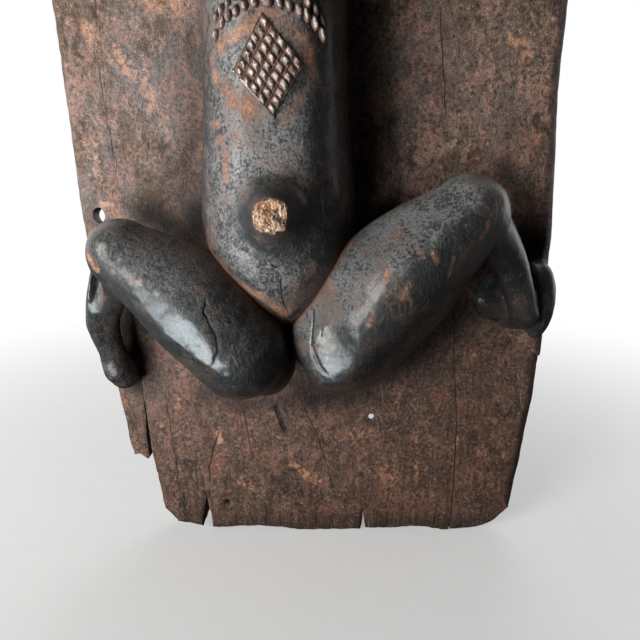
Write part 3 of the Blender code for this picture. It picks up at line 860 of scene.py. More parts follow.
@dataclass(frozen=True)
class BlackPatina:
    """The figure's skin: blackened by smoke and oil, polished by hands, rubbed brown on its high places, and greyed
    where dusted and where sheen is painted on faces turned up and to the light.
    """

    name: str = "black_patina"
    black: Colour = (0.010, 0.0105, 0.0105)
    grey: Colour = (0.022, 0.023, 0.023)
    # greyed: the dusted grey, which also carries painted sheen on faces turned up and to the light
    greyed: Colour = (0.152, 0.150, 0.147)
    brown: Colour = (0.095, 0.058, 0.044)
    rubbed: Colour = (0.165, 0.088, 0.062)
    rust: Colour = (0.275, 0.125, 0.076)
    bared: Colour = (0.205, 0.110, 0.077)
    tan: Colour = (0.480, 0.265, 0.145)
    pale: Colour = (0.480, 0.410, 0.360)
    gap: Colour = (0.004, 0.003, 0.003)
    coat: float = 0.42
    gloss: float = 0.36

    def skin(self, graph: Graph) -> tuple[Wire, Wire, Wire, Wire]:
        """Mix the black coat, its fibres and scratches, the dusted grey with painted sheen, the brown rubbed places and
        the bare creases.

        Args:
            graph: the graph to add it to.

        Returns:
            The colour, the roughness, the tilt, and how glossy its coat is.
        """
        place = graph.place()
        big = graph.noise(place, 24.0, 4.0, 0.6, 0.4)
        mid = graph.noise(place, 105.0, 6.0, 0.70)
        fine = graph.noise(place, 460.0, 5.0, 0.68)
        speck = graph.noise(place, 1100.0, 3.0, 0.62)
        fibre = graph.noise(graph.stretch(place, (1.0, 1.0, 0.10)), 700.0, 4.0, 0.6)
        nick = graph.scratches(place, 0.5).most(graph.scratches(place, -0.7))
        masks = ("wear", "crease", "rubbed", "dust", "polish")
        wear, crease, rubbed, dust, polish = map(graph.mask, masks)
        crack = graph.cracks()
        worn = (mid * 0.40 + big * 0.3 + fine * 0.3 + rubbed * 0.05 + wear * 0.12).rise(0.555, 0.65)
        flake = (wear * 0.62 + (fine - 0.5) * 2.0 + (mid - 0.5) * 1.7 + (speck - 0.5) * 1.0).rise(0.54, 0.78)
        bare = (crease * 0.95 + (mid - 0.5) * 0.9 + (fine - 0.5) * 0.8).rise(0.36, 0.80)
        colour = graph.tint(
            self.black,
            ((mid * 0.45 + fine * 0.3 + fibre * 0.25).rise(0.38, 0.62), self.grey),
            # dusted grey and painted sheen, laid by the mask of faces turned up and to the light
            (dust * (0.12 + (big * 0.20 + mid * 0.32 + fine * 0.48).rise(0.43, 0.56) * 0.90), self.greyed),
            ((big * 0.5 + mid * 0.3 + fine * 0.2).rise(0.48, 0.60) * 0.7, self.brown),
            ((wear * 1.1 + mid - 0.5).rise(0.15, 0.85) * 0.72, self.rubbed),
            (worn * 0.5, self.rust),
            (bare * 0.75, self.bared),
            (flake * 0.75, self.rust),
            ((flake * 0.5 + speck * 0.8 + wear * 0.1).rise(0.86, 1.04) * 0.85, self.tan),
            ((1 - fine.rise(0.34, 0.46)) * 0.45, self.black),
            (nick * 0.25, self.pale),
            ((speck * 0.65 + fine * 0.35).rise(0.65, 0.71) * 0.7, self.pale),
            (crack * 0.95, self.gap))
        dull = worn.most(bare).most(flake)
        rough = self.gloss + speck * 0.10 + fine * 0.10 + dull * 0.22 - polish * 0.06
        tilt = graph.bump((speck, 0.00040), (fibre, 0.00010), (fine, 0.00135), (mid, 0.00170),
                          (graph.noise(place, 230.0, 4.0, 0.6, 1.4) * polish, 0.0030),
                          (1 - crack.most(nick * 0.2).most(flake * 0.3), 0.0008))
        return colour, rough, tilt, (self.coat + polish * (1 - self.coat)) * (1 - dull * 0.85)

    def material(self) -> bpy.types.Material:
        """Set the skin up as a finish.

        Returns:
            The finish.
        """
        material, graph = new_material(self.name)
        colour, rough, tilt, coat = self.skin(graph)
        graph.surface(Base_Color=colour, Roughness=rough, Normal=tilt, Specular_IOR_Level=0.35,
                      Coat_Weight=coat, Coat_Roughness=0.24)
        return material


# the body's skin: a brighter dusted grey, which also carries the body's painted sheen
DUST_AND_SHEEN_PATINA = BlackPatina("dust_and_sheen_patina", grey=(0.036, 0.036, 0.035), greyed=(0.275, 0.264, 0.258),
                           brown=(0.165, 0.106, 0.088), rubbed=(0.215, 0.128, 0.098), coat=0.24, gloss=0.40)


@dataclass(frozen=True)
class BrokenWood:
    """The navel's finish: the body's skin on its sides, with a raw, pitted break on its tip."""

    name: str = "broken_wood"
    side: BlackPatina = DUST_AND_SHEEN_PATINA
    raw: Colour = (0.50, 0.205, 0.070)
    light: Colour = (0.86, 0.66, 0.46)
    deep: Colour = (0.045, 0.016, 0.009)

    def material(self) -> bpy.types.Material:
        """Mix the raw break into the skin.

        Returns:
            The finish.
        """
        material, graph = new_material(self.name)
        place = graph.place()
        colour, rough, tilt, coat = self.side.skin(graph)
        fine = graph.noise(place, 520.0, 4.0, 0.65)
        splinter = graph.noise(graph.stretch(place, (1.0, 1.0, 0.6)), 360.0, 5.0, 0.75, 0.8)
        hollow = graph.noise(place, 150.0, 3.0, 0.6)
        raw = (graph.mask("raw") + (fine - 0.5) * 0.9).rise(0.42, 0.56)
        wood = graph.tint(self.raw, (splinter.rise(0.46, 0.62), self.light),
                          ((1 - (hollow * 0.5 + splinter * 0.5).rise(0.42, 0.53)) * 0.92, self.deep))
        tilt = graph.bump((splinter * raw, 0.0030), under=tilt)
        graph.surface(Base_Color=graph.tint(colour, (raw, wood)), Roughness=rough + raw * 0.04, Normal=tilt,
                      Specular_IOR_Level=0.5, Coat_Weight=coat.most(raw * 0.8), Coat_Roughness=0.2)
        return material


@dataclass(frozen=True)
class ScarPolish:
    """The raised scar patterns: dark and glossy on top, rubbed red-brown in the grooves."""

    name: str = "scar_polish"
    black: Colour = (0.052, 0.038, 0.033)
    brown: Colour = (0.400, 0.285, 0.238)
    groove: Colour = (0.150, 0.077, 0.051)

    def material(self) -> bpy.types.Material:
        """Mix the polished tops and the rubbed grooves.

        Returns:
            The finish.
        """
        material, graph = new_material(self.name)
        place = graph.place()
        mid = graph.noise(place, 210.0, 5.0, 0.65)
        fine = graph.noise(place, 900.0, 4.0, 0.65)
        low = (1 - graph.mask("high") + (mid - 0.5) * 0.9).rise(0.40, 0.80)
        colour = graph.tint(self.black, (mid.rise(0.40, 0.62), self.brown), (low * 0.92, self.groove),
                            ((1 - fine.rise(0.36, 0.47)) * 0.6, self.black))
        rough = 0.18 + low * 0.42 + fine * 0.1
        tilt = graph.bump((fine, 0.0004), (mid, 0.0012))
        graph.surface(Base_Color=colour, Roughness=rough, Normal=tilt, Specular_IOR_Level=0.5,
                      Coat_Weight=1 - low, Coat_Roughness=0.10)
        return material


@dataclass(frozen=True)
class DowelWood:
    """The hidden dowels' plain, pale wood, its grain along the pin."""

    name: str = "dowel_wood"
    pale: Colour = (0.30, 0.18, 0.10)
    dark: Colour = (0.17, 0.09, 0.05)

    def material(self) -> bpy.types.Material:
        """Mix a fine grain along the pin.

        Returns:
            The finish.
        """
        material, graph = new_material(self.name)
        place = graph.place()
        grain = graph.noise(graph.stretch(place, (1.0, 0.08, 1.0)), 900.0, 4.0)
        colour = graph.tint(self.dark, (grain.rise(0.40, 0.64), self.pale))
        graph.surface(Base_Color=colour, Roughness=0.62 + grain * 0.2, Normal=graph.bump((grain, 0.0003)))
        return material


def tube(stations: Sequence[Sequence[float]], sides: int = 40, flatness: float = 1.0, power: float = 2.0,
         turn: float = 0.0) -> Shape:
    """Skin round sections along a curved line, with domed ends.

    Args:
        stations: rows of x, relief, z and radius.
        sides: points round a section.
        flatness: a section's depth as a share of its width.
        power: 2 for a round section, more for a squarer one.
        turn: how far a squarer section is turned about the line.

    Returns:
        The closed skin.
    """
    rows = curve_through(stations, 10)
    centres = np.stack([rows[:, 0], SEAT - rows[:, 1], rows[:, 2]], 1)
    along = np.gradient(centres, axis=0)
    along /= np.linalg.norm(along, axis=1, keepdims=True)
    turns = np.linspace(DOME_START, math.pi / 2, 7)[:-1]
    first, last = ([(centres[end] + sign * along[end] * rows[end, 3] * math.cos(t), along[end],
                     rows[end, 3] * math.sin(t)) for t in turns] for end, sign in ((0, -1), (-1, 1)))
    angles = np.linspace(0, 2 * math.pi, sides, endpoint=False) - turn
    square = squared(np.cos(angles), power), squared(np.sin(angles), power)
    across = square[0] * math.cos(turn) - square[1] * math.sin(turn)
    out = (square[0] * math.sin(turn) + square[1] * math.cos(turn)) * flatness
    rings = []
    for centre, way, radius in first + list(zip(centres, along, rows[:, 3])) + last[::-1]:
        sideways = np.cross(way, (0.0, -1.0, 0.0))
        sideways /= np.linalg.norm(sideways)
        outwards = np.cross(sideways, way)
        rings.append(centre + radius * (across[:, None] * sideways + out[:, None] * outwards))
    return Shape.lofted(rings)


def lump(x: float, relief: float, z: float, radii: Sequence[float], lean: float = 0.0) -> Shape:
    """A rounded lump with its own radius along each axis.

    Args:
        x: where it sits across.
        relief: how far out it sits.
        z: how high it sits.
        radii: its radius along x, y and z.
        lean: how far it is turned in the plane of the boards.

    Returns:
        The closed skin.
    """
    turns = np.linspace(0, 2 * math.pi, LUMP_SIDES, endpoint=False)
    sine, cosine = math.sin(lean), math.cos(lean)
    rings = []
    for up in np.linspace(-math.pi / 2 + DOME_START, math.pi / 2 - DOME_START, LUMP_RINGS):
        ring = np.stack([np.cos(turns) * math.cos(up), np.sin(turns) * math.cos(up),
                         np.full(LUMP_SIDES, math.sin(up))], 1) * np.asarray(radii)
        leaned = ring[:, [0, 2]] @ np.array([[cosine, sine], [-sine, cosine]])
        rings.append(np.stack([x + leaned[:, 0], SEAT - relief + ring[:, 1], z + leaned[:, 1]], 1))
    return Shape.lofted(rings)


def half_round(stations: Array, power: float, steps: int = 150) -> Shape:
    """Skin half-round sections that stand on the boards, sunk a little into them.

    Args:
        stations: rows of x, half width, relief and z.
        power: how square the sections are.
        steps: points over the front of a section.

    Returns:
        The closed skin.
    """
    angles = np.linspace(0, math.pi, steps)
    across = squared(np.cos(angles), power)
    out = np.sin(angles).clip(0) ** (2 / power)
    back = np.linspace(-1, 1, steps // 3)
    rings = []
    for x, half, relief, z in stations:
        front = np.stack([x + half * across, SEAT - relief * out, np.full(steps, z)], 1)
        rear = np.stack([x + half * back, np.full(len(back), SUNK), np.full(len(back), z)], 1)
        rings.append(np.vstack([front, rear]))
    return Shape.lofted(rings)


def carve(shape: Shape, seed: int, facet: float = 0.00035) -> Shape:
    """Give a skin the unevenness of knife and adze work, and mark its high places as rubbed.

    Args:
        shape: the skin.
        seed: which noise to use.
        facet: how deep the cuts are.

    Returns:
        The same shape.
    """
    points = shape.points.copy()
    start, end = shape.triangles.ravel(), shape.triangles[:, [1, 2, 0]].ravel()
    count = np.bincount(start, minlength=len(points))[:, None]
    middle = points
    for _ in range(6):
        middle = shape.gathered(start, middle[end]) / count
    bulge = np.einsum("ij,ij->i", points - middle, shape.normals())
    shape.masks["rubbed"] = gentle(bulge, 0.0001, 0.0009)
    cuts = Noise.layered(points, 0.016, seed, 2) + 0.35 * Noise.smooth(points, 0.0045, seed + 7)
    fine = Noise.layered(points * np.array([1.0, 1.0, 0.45]), 0.0026, seed + 11, 2)
    shape.pushed(facet * cuts + 0.00007 * fine)
    shape.points[:, 1] = np.minimum(shape.points[:, 1], SUNK)
    return shape


@dataclass
class Torso:
    """The long body: a half-round column, pointed at the crotch, with a broad chest."""

    width: float = 0.134
    relief: float = 0.086
    crotch: float = -0.172
    shoulders: float = 0.228
    power: float = 2.35
    shares: tuple = ((-0.020, 0.050, 0.04, 0.14), (-0.012, 0.050, 0.13, 0.36), (0.0, 0.048, 0.25, 0.53),
                     (0.06, 0.030, 0.59, 0.78), (0.13, 0.006, 0.89, 0.92), (0.21, 0.0, 0.985, 0.975),
                     (0.30, 0.0, 0.96, 1.0), (0.42, 0.0, 0.90, 0.94), (0.56, 0.0, 0.87, 0.91),
                     (0.70, 0.0, 0.90, 0.86), (0.82, 0.0, 1.03, 0.76), (0.93, 0.0, 1.10, 0.58),
                     (1.0, 0.0, 0.68, 0.42), (1.015, 0.0, 0.42, 0.26), (1.022, 0.0, 0.10, 0.08))
    cracks: tuple = (
        Crack(((236, 180), (236, 205), (240, 224), (245, 233), (252, 246), (261, 254), (276, 257), (293, 256)),
              0.0008, 0.0003),
        Crack(((270, 263), (274, 268), (279, 266)), 0.0014, 0.0005),
        Crack(((281, 276), (281, 290), (284, 302), (288, 314)), 0.0009, 0.0004))
    rubs: tuple = (
        Rub(((218, 46), (240, 32), (264, 14)), 0.011), Rub(((272, 14), (292, 30), (308, 52), (314, 70)), 0.010, 0.9),
        Rub(((224, 86), (236, 100), (248, 108)), 0.013, 0.9), Rub(((213, 124), (219, 126)), 0.006), Rub(((219, 140),), 0.008),
        Rub(((234, 137),), 0.007), Rub(((225, 152), (226, 178)), 0.007, 0.9), Rub(((250, 175), (268, 168)), 0.008, 0.8),
        Rub(((242, 214), (247, 228)), 0.004, 0.9), Rub(((212, 60), (216, 84)), 0.008, 0.8), Rub(((285, 120), (300, 100)), 0.010, 0.7),
        Rub(((206, 240), (213, 257), (223, 270), (236, 281), (250, 291), (268, 302), (284, 312)), 0.0115))
    # the way of the dusted grey with painted sheen, and the place and size of the navel's painted shadow
    dust_and_sheen_way: Point = (-0.22, -0.72, 0.15)
    open_way: Point = (0.45, -0.85, 0.20)
    navel_shadow_place: Place = (0.014, -0.104)
    navel_shadow_size: Place = (0.030, 0.024)
    shape: Shape = field(init=False)

    def stations(self) -> Array:
        """The sections from crotch to shoulders: x, half width, relief and z."""
        rows = curve_through(self.shares, 22)
        return np.stack([FIGURE_X + self.width * rows[:, 1], self.width / 2 * rows[:, 2].clip(0.02),
                         self.relief * rows[:, 3].clip(0.03),
                         self.crotch + (self.shoulders - self.crotch) * rows[:, 0]], 1)

    def section(self, z: Array | float) -> tuple[Array, Array, Array]:
        """The body's middle, half width and relief at a height."""
        x, half, relief, heights = self.stations().T
        return np.interp(z, heights, x), np.interp(z, heights, half), np.interp(z, heights, relief)

    def stands(self, x: Array | float, z: Array | float) -> Array:
        """Find how far the body stands out at a place on its front.

        Args:
            x: the place across.
            z: the place's height.

        Returns:
            The relief there.
        """
        middle, half, relief = self.section(z)
        share = np.minimum(np.abs(x - middle) / half, 1.0)
        return relief * (1 - share ** self.power) ** (1 / self.power)

    def soil(self, shape: Shape) -> None:
        """Grey a skin on the body, dusted and with painted sheen; less on its right flank, as painted shade, and below
        and right of the navel, as the navel's painted shadow.

        Args:
            shape: the skin.
        """
        shape.dust(self.dust_and_sheen_way, 0.44, 0.72)
        open_share = gentle(shape.normals() @ np.array(self.open_way), 0.05, 0.60)
        place = shape.points[:, [0, 2]] - (FIGURE_X, 0.0)
        from_navel_shadow = np.linalg.norm((place - self.navel_shadow_place) / self.navel_shadow_size, axis=1)
        # painted shade: the grey fades out across the body's right flank
        shape.masks["dust"] *= (0.45 + 0.55 * open_share) * (1 - 0.9 * gentle(place[:, 0], 0.012, 0.052))
        # painted shadow of the navel: the grey is taken out below and right of it
        shape.masks["dust"] *= 1 - 0.75 * (1 - gentle(from_navel_shadow, 0.35, 1.0))

    def build(self, sight: Sight) -> Shape:
        """Carve the body.

        Args:
            sight: the camera that its marks were seen from.

        Returns:
            The body's skin.
        """
        self.shape = carve(half_round(self.stations(), self.power), 21, 0.00042)
        self.soil(self.shape)
        self.shape.crack(self.cracks, sight).rub(self.rubs, sight)
        return self.shape


@dataclass
class Navel:
    """The projecting navel: a stump that swells out of the belly, its tip broken off rough."""

    body: Torso
    height: float = -0.080
    length: float = 0.036
    droop: float = 0.0015
    lean: float = 0.0038
    profile: tuple = ((0.042, -0.0024), (0.038, -0.0008), (0.033, 0.0007), (0.0275, 0.0030), (0.0225, 0.0078),
                      (0.0180, 0.0150), (0.0150, 0.0235), (0.0132, 0.0310), (0.0122, 0.0348), (0.0110, 0.0362),
                      (0.0070, 0.0364), (0.0008, 0.0364))
    sides: int = 150

    def build(self) -> Shape:
        """Raise the stump and roughen its break.

        Returns:
            The navel's skin.
        """
        turns = np.linspace(0, 2 * math.pi, self.sides, endpoint=False)
        wave = np.stack([np.cos(turns), np.sin(turns), 0 * turns], 1)
        ragged = 1 + 0.10 * Noise.layered(wave, 0.9, 8)
        tree, rings, raw = self.body.shape.tree(), [], []
        for radius, height in curve_through(self.profile, 14):
            share = float(gentle(height, 0.026, 0.0345))
            spread = radius * (1 + share * (ragged - 1))
            x = FIGURE_X + spread * wave[:, 0]
            z = self.height + spread * wave[:, 1] * (1 - 0.07 * share)
            met = struck(tree, x, z)[0][:, 1]
            base = met * (1 - share) + np.mean(met) * share
            out = max(height, 0.0) / self.length
            rings.append(np.stack([x + self.lean * out, base - height, z - self.droop * out], 1))
            raw.append(np.full(self.sides, float(gentle(height, 0.0325, 0.0352))))
        shape = Shape.lofted(rings)
        share = shape.masks["raw"] = np.concatenate([*raw, [0.0, 1.0]])
        points = shape.points
        rough = 0.0010 * Noise.layered(points, 0.0050, 3) + 0.0004 * Noise.smooth(points, 0.0012, 6) - 0.0008
        even = 0.0003 * Noise.layered(points, 0.010, 4)
        shape.pushed(share * rough + (1 - share) * even)
        self.body.soil(shape)
        away = np.hypot(points[:, 0] - FIGURE_X, points[:, 2] - self.height)
        shape.masks["dust"] *= gentle(away, 0.014, 0.032)
        return shape


class ScarForm(Enum):
    """The two raised scar patterns on the body."""

    LOZENGE = "lozenge"
    BAND = "band"


@dataclass
class ScarMarks:
    """Raised marks on the belly: a lozenge of blocks under an arched double row of beads."""

    form: ScarForm
    body: Torso
    lozenge_middle: float = 0.016
    lozenge_width: float = 0.047
    lozenge_height: float = 0.064
    lozenge_tilt: float = math.radians(5)
    lozenge_counts: tuple = (5, 7)
    band_middle: float = 0.0595
    band_width: float = 0.019
    band_drop: float = 0.0185
    band_reach: float = math.radians(37)
    band_counts: tuple = (13, 2)
    block: float = 0.0034
    sunk: float = 0.0016
    margin: float = 0.05

    def places(self, u: Array, v: Array) -> tuple[Array, Array]:
        """Find the x and z of shares of the pattern.

        Args:
            u: shares along the pattern's first side.
            v: shares along its second side.

        Returns:
            The x and the z of each.
        """
        if self.form is ScarForm.LOZENGE:
            x = (u - v) * self.lozenge_width / 2
            z = (1 - u - v) * self.lozenge_height / 2
            sine, cosine = math.sin(self.lozenge_tilt), math.cos(self.lozenge_tilt)
            return FIGURE_X + x * cosine - z * sine, self.lozenge_middle + x * sine + z * cosine
        angle = math.pi / 2 + self.band_reach * (1 - 2 * u)
        across = squared(np.cos(angle), self.body.power)
        z = self.band_middle - self.band_drop * (2 * u - 1) ** 2 + self.band_width * (v - 0.5)
        middle, half, _ = self.body.section(z)
        return middle + half * across, z

    def heights(self, u: Array, v: Array) -> Array:
        """Work out how far the marks stand out.

        Args:
            u: shares along the pattern's first side.
            v: shares along its second side.

        Returns:
            The height at each place, as a share of a block's.
        """
        counts = self.lozenge_counts if self.form is ScarForm.LOZENGE else self.band_counts
        cells = np.stack([np.floor(u * counts[0]), np.floor(v * counts[1]), 0 * u], 1).astype(np.int64)
        shift = 0.09 * Noise.corner(cells, 31), 0.09 * Noise.corner(cells, 32)
        across = u * counts[0] - cells[:, 0] - 0.5 + shift[0]
        along = v * counts[1] - cells[:, 1] - 0.5 + shift[1]
        size = 1 + 0.30 * Noise.corner(cells, 33)
        inside = ((u > 0) & (u < 1) & (v > 0) & (v < 1)).astype(float)
        if self.form is ScarForm.BAND:
            bead = np.sqrt((1 - ((across + 0.22 * along) / 0.43) ** 2 - (along / 0.40) ** 2).clip(0))
            return inside * bead * size
        edge = np.minimum.reduce([u, 1 - u, v, 1 - v])
        pad = 0.36 * gentle(edge, -0.020, 0.012)
        knob = (1 - np.abs(2.35 * across) ** 3.4).clip(0) * (1 - np.abs(2.45 * along) ** 3.4).clip(0)
        knob = knob * (0.86 + 0.62 * across - 0.46 * along)
        lines = np.abs(u * counts[0] - np.round(u * counts[0]))
        ridge = 0.56 * (1 - gentle(lines, 0.02, 0.11)) * inside
        rim = 0.70 * (1 - gentle(np.abs(v - 0.995), 0.012, 0.030)) * ((u > -0.02) & (u < 1.03))
        return np.maximum.reduce([pad + 0.64 * inside * knob * size, ridge, rim])

    def build(self) -> Shape:
        """Lay the marks on the body as a thin plate whose rim is sunk in it.

        Returns:
            The plate's skin.
        """
        counts = (190, 230) if self.form is ScarForm.LOZENGE else (420, 64)
        low, high = -self.margin, 1 + self.margin
        u, v = np.meshgrid(*(np.linspace(low, high, count) for count in counts), indexing="ij")
        u, v = u.ravel(), v.ravel()
        hits, ways = struck(self.body.shape.tree(), *self.places(u, v))
        edge = np.minimum.reduce([u - low, high - u, v - low, high - v]) / self.margin
        share = self.heights(u, v)
        rough = 0.00022 * Noise.layered(hits, 0.0022, 41, 2)
        lift = self.block * share + rough - 0.0012 * (1 - gentle(edge, 0.1, 0.9)) - 0.0001
        top = hits + ways * lift[:, None]
        under = hits - ways * self.sunk
        number = np.arange(len(u)).reshape(counts)
        a, b = number[:-1, :-1].ravel(), number[1:, :-1].ravel()
        c, d = number[1:, 1:].ravel(), number[:-1, 1:].ravel()
        sheet = np.vstack([np.stack([a, b, c], 1), np.stack([a, c, d], 1)])
        rim = np.concatenate([number[:-1, 0], number[-1, :-1], number[:0:-1, -1], number[0, :0:-1]])
        below = len(u)
        faces = np.vstack([sheet, sheet[:, ::-1] + below, walled(rim, rim + below)])
        shape = Shape(np.vstack([top, under]), faces).turned_out()
        shape.masks["high"] = np.concatenate([gentle(share, 0.45, 0.80), np.zeros(below)])
        return shape


@dataclass
class Leg:
    """A drawn-up leg: a thick thigh, a thin shin set back under the knee, and a foot on the boards."""

    hip: Point
    thigh: Point
    knee: Point
    shin: Point
    ankle: Point
    cracks: tuple[Crack, ...]
    rubs: tuple[Rub, ...]
    polish: tuple[Rub, ...]
    facets: tuple[Facet, ...]
    seat: Point
    seed: int
    heel: Point = (0.0, 0.0, 0.0)
    toe: Point = (0.0, 0.0, 0.0)
    hip_radius: float = 0.0405
    thigh_radius: float = 0.0425
    knee_radius: float = 0.0275
    shin_radius: float = 0.0155
    ankle_radius: float = 0.0118
    toe_radius: float = 0.0130
    crest: float = math.radians(45)
    power: float = 3.2
    shin_crest: float = 0.0
    shin_power: float = 2.0
    # the way, low and high of the dusted grey with painted sheen, and how strong it is
    greyed: tuple = ((-0.45, -0.35, 0.82), 0.14, 0.62)
    dusting: float = 0.85
    swells: tuple = ()
    seat_radius: float = 0.029
    cell: float = 0.0012

    @classmethod
    def left(cls) -> "Leg":
        """The left leg, its foot on the split-off strip."""
        return cls(
            (-0.061, 0.050, -0.196), (-0.103, 0.047, -0.149), (-0.151, 0.054, -0.1115),
            (DOOR_LEFT + 0.026, 0.029, -0.170), (DOOR_LEFT + 0.0255, 0.016, -0.215),
            cracks=(
                Crack(((204, 296), (206, 305), (204, 313), (211, 327), (217, 338), (218, 352), (215, 363),
                       (207, 368)), 0.0017, 0.0006),
                Crack(((160, 343), (172, 352), (183, 358)), 0.0007, 0.0005)),
            rubs=(
                Rub(((88, 258), (95, 268)), 0.009), Rub(((113, 272),), 0.004), Rub(((129, 284), (142, 280)), 0.0025),
                Rub(((196, 288), (203, 294)), 0.004, 0.8), Rub(((97, 243),), 0.004, 0.8),
                Rub(((110, 378), (114, 372)), 0.004, 0.8)),
            polish=(
                Rub(((145, 284), (162, 309), (183, 327)), 0.016, 0.35),
                Rub(((183, 327), (197, 345), (215, 363), (236, 374)), 0.024),
                Rub(((89, 276), (92, 310), (99, 342)), 0.0065, 0.9)),
            facets=(
                Facet(((145, 286), (162, 306), (183, 327), (200, 345), (218, 360), (236, 371)),
                      (-0.19, -0.975, -0.09), 0.0008, 0.034),
                Facet(((92, 282), (95, 310), (102, 342)), (-0.08, -0.99, 0.06), 0.0005, 0.008)),
            seat=(-0.044, 0.038, -0.211), seed=50, heel=(DOOR_LEFT + 0.0245, 0.017, -0.211),
            toe=(DOOR_LEFT + 0.030, 0.010, -0.234), power=2.2, shin_crest=math.radians(65), shin_power=1.5)

    @classmethod
    def right(cls) -> "Leg":
        """The right leg, its knee higher and its foot at the right edge."""
        return cls(
            (0.028, 0.040, -0.191), (0.0725, 0.050, -0.131), (0.124, 0.060, -0.079),
            (DOOR_RIGHT - 0.0575, 0.032, -0.119), (DOOR_RIGHT - 0.030, 0.019, -0.171),
            cracks=(
                Crack(((314, 305), (313, 331), (311, 345), (315, 356), (322, 370), (329, 379)), 0.0018, 0.0006),
                Crack(((322, 328), (321, 337)), 0.0007, 0.0005)),
            rubs=(
                Rub(((488, 222), (487, 230), (481, 238)), 0.0035), Rub(((403, 230), (399, 236)), 0.004, 0.9),
                Rub(((386, 272), (386, 282)), 0.0042), Rub(((408, 285), (404, 298)), 0.006, 0.8),
                Rub(((368, 326), (372, 312)), 0.004, 0.8), Rub(((454, 258), (449, 276)), 0.004, 0.9),
                Rub(((368, 282),), 0.004, 0.8), Rub(((351, 282),), 0.004, 0.8), Rub(((466, 225),), 0.003, 0.7),
                Rub(((390, 330), (393, 342)), 0.003, 0.6),
                Rub(((302, 306), (312, 291), (326, 274), (340, 256), (352, 243)), 0.008, 0.85),
                Rub(((416, 247), (422, 256)), 0.004, 0.8), Rub(((432, 252), (437, 262)), 0.004, 0.8),
                Rub(((364, 307),), 0.003, 0.8), Rub(((327, 280), (333, 290)), 0.004, 0.7),
                Rub(((404, 292), (410, 300)), 0.004, 0.8), Rub(((398, 262),), 0.003, 0.7)),
            polish=(
                Rub(((318, 325), (322, 345), (330, 368)), 0.020), Rub(((448, 216), (458, 210), (468, 202)), 0.008),
                Rub(((326, 312), (345, 288), (370, 266), (400, 250), (430, 232)), 0.012, 0.5),
                Rub(((512, 330), (526, 336)), 0.010)),
            facets=(Facet(((307, 326), (314, 345), (324, 364)), (-0.42, -0.906, 0.03), 0.001, 0.042),),
            seat=(0.020, 0.034, -0.213), seed=70, hip_radius=0.0425, thigh_radius=0.0445, seat_radius=0.027,
            # dusted grey with painted sheen, turned up and to the left where the light comes from, and stronger
            greyed=((-0.66, -0.20, 0.72), 0.46, 0.90), dusting=1.7,
            swells=((DOOR_RIGHT - 0.0120, 0.002, -0.1610, (0.0140, 0.020, 0.0370)),
                    (DOOR_RIGHT - 0.0220, 0.002, -0.1560, (0.0150, 0.020, 0.0330)),
                    (DOOR_RIGHT - 0.0320, -0.003, -0.1680, (0.0220, 0.018, 0.0220)),
                    (DOOR_RIGHT - 0.0480, -0.006, -0.1570, (0.0280, 0.018, 0.0260))))

    @staticmethod
    def between(start: Sequence[float], end: Sequence[float], share: float) -> tuple:
        """A place part of the way along the leg."""
        return tuple(a + (b - a) * share for a, b in zip(start, end))

    def foot(self) -> list[Shape]:
        """Make the foot, with the toes as short ridges over its end.

        Returns:
            The foot's skin and the toes' skins.
        """
        heel, tip = np.array(self.heel), np.array(self.toe)
        way = (tip - heel) / np.linalg.norm(tip - heel)
        sideways = np.cross(way, (0.0, 1.0, 0.0))
        ball = self.between(self.heel, self.toe, 0.60)
        made = [tube([(*self.heel, self.ankle_radius), (*ball, self.toe_radius * 1.15),
                      (*self.toe, self.toe_radius)], 48)]
        for step in (-1.2, -0.4, 0.4, 1.2):
            start = ball + sideways * step * self.toe_radius * 0.50
            end = tip + way * self.toe_radius * 0.55 + sideways * step * self.toe_radius * 0.66
            start[1], end[1] = self.toe[1] + self.toe_radius * 0.72, self.toe[1] * 0.75
            radius = self.toe_radius * 0.34
            made.append(tube([(*start, radius), (*((start + end) / 2 + (0, 0.0015, 0)), radius * 1.1),
                              (*end, radius * 0.9)], 20))
        return made

    def build(self, sight: Sight) -> Shape:
        """Fuse the thigh, shin and foot, and carve them.

        Args:
            sight: the camera that the leg's marks were seen from.

        Returns:
            The leg's skin.
        """
        upper = tube([(*self.hip, self.hip_radius), (*self.thigh, self.thigh_radius),
                      (*self.knee, self.knee_radius)], 72, 1.0, self.power, self.crest)
        rump = lump(*self.seat, (self.seat_radius, self.seat_radius * 1.05, self.seat_radius))
        lower = tube([(*self.between(self.knee, self.shin, 0.1), self.knee_radius * 0.84),
                      (*self.shin, self.shin_radius), (*self.ankle, self.ankle_radius)], 48, 1.0,
                     self.shin_power, self.shin_crest)
        end = [lump(*swell) for swell in self.swells] or self.foot()
        shape = Shape.fused([upper, rump, lower, *end], self.cell).eased(7).cut(self.facets, sight)
        carve(shape, self.seed, 0.00045).dust(*self.greyed)
        shape.crack(self.cracks, sight).rub(self.rubs, sight).rub(self.polish, sight, "polish")
        # scale the dusted grey with painted sheen
        shape.masks["dust"] *= self.dusting
        return shape


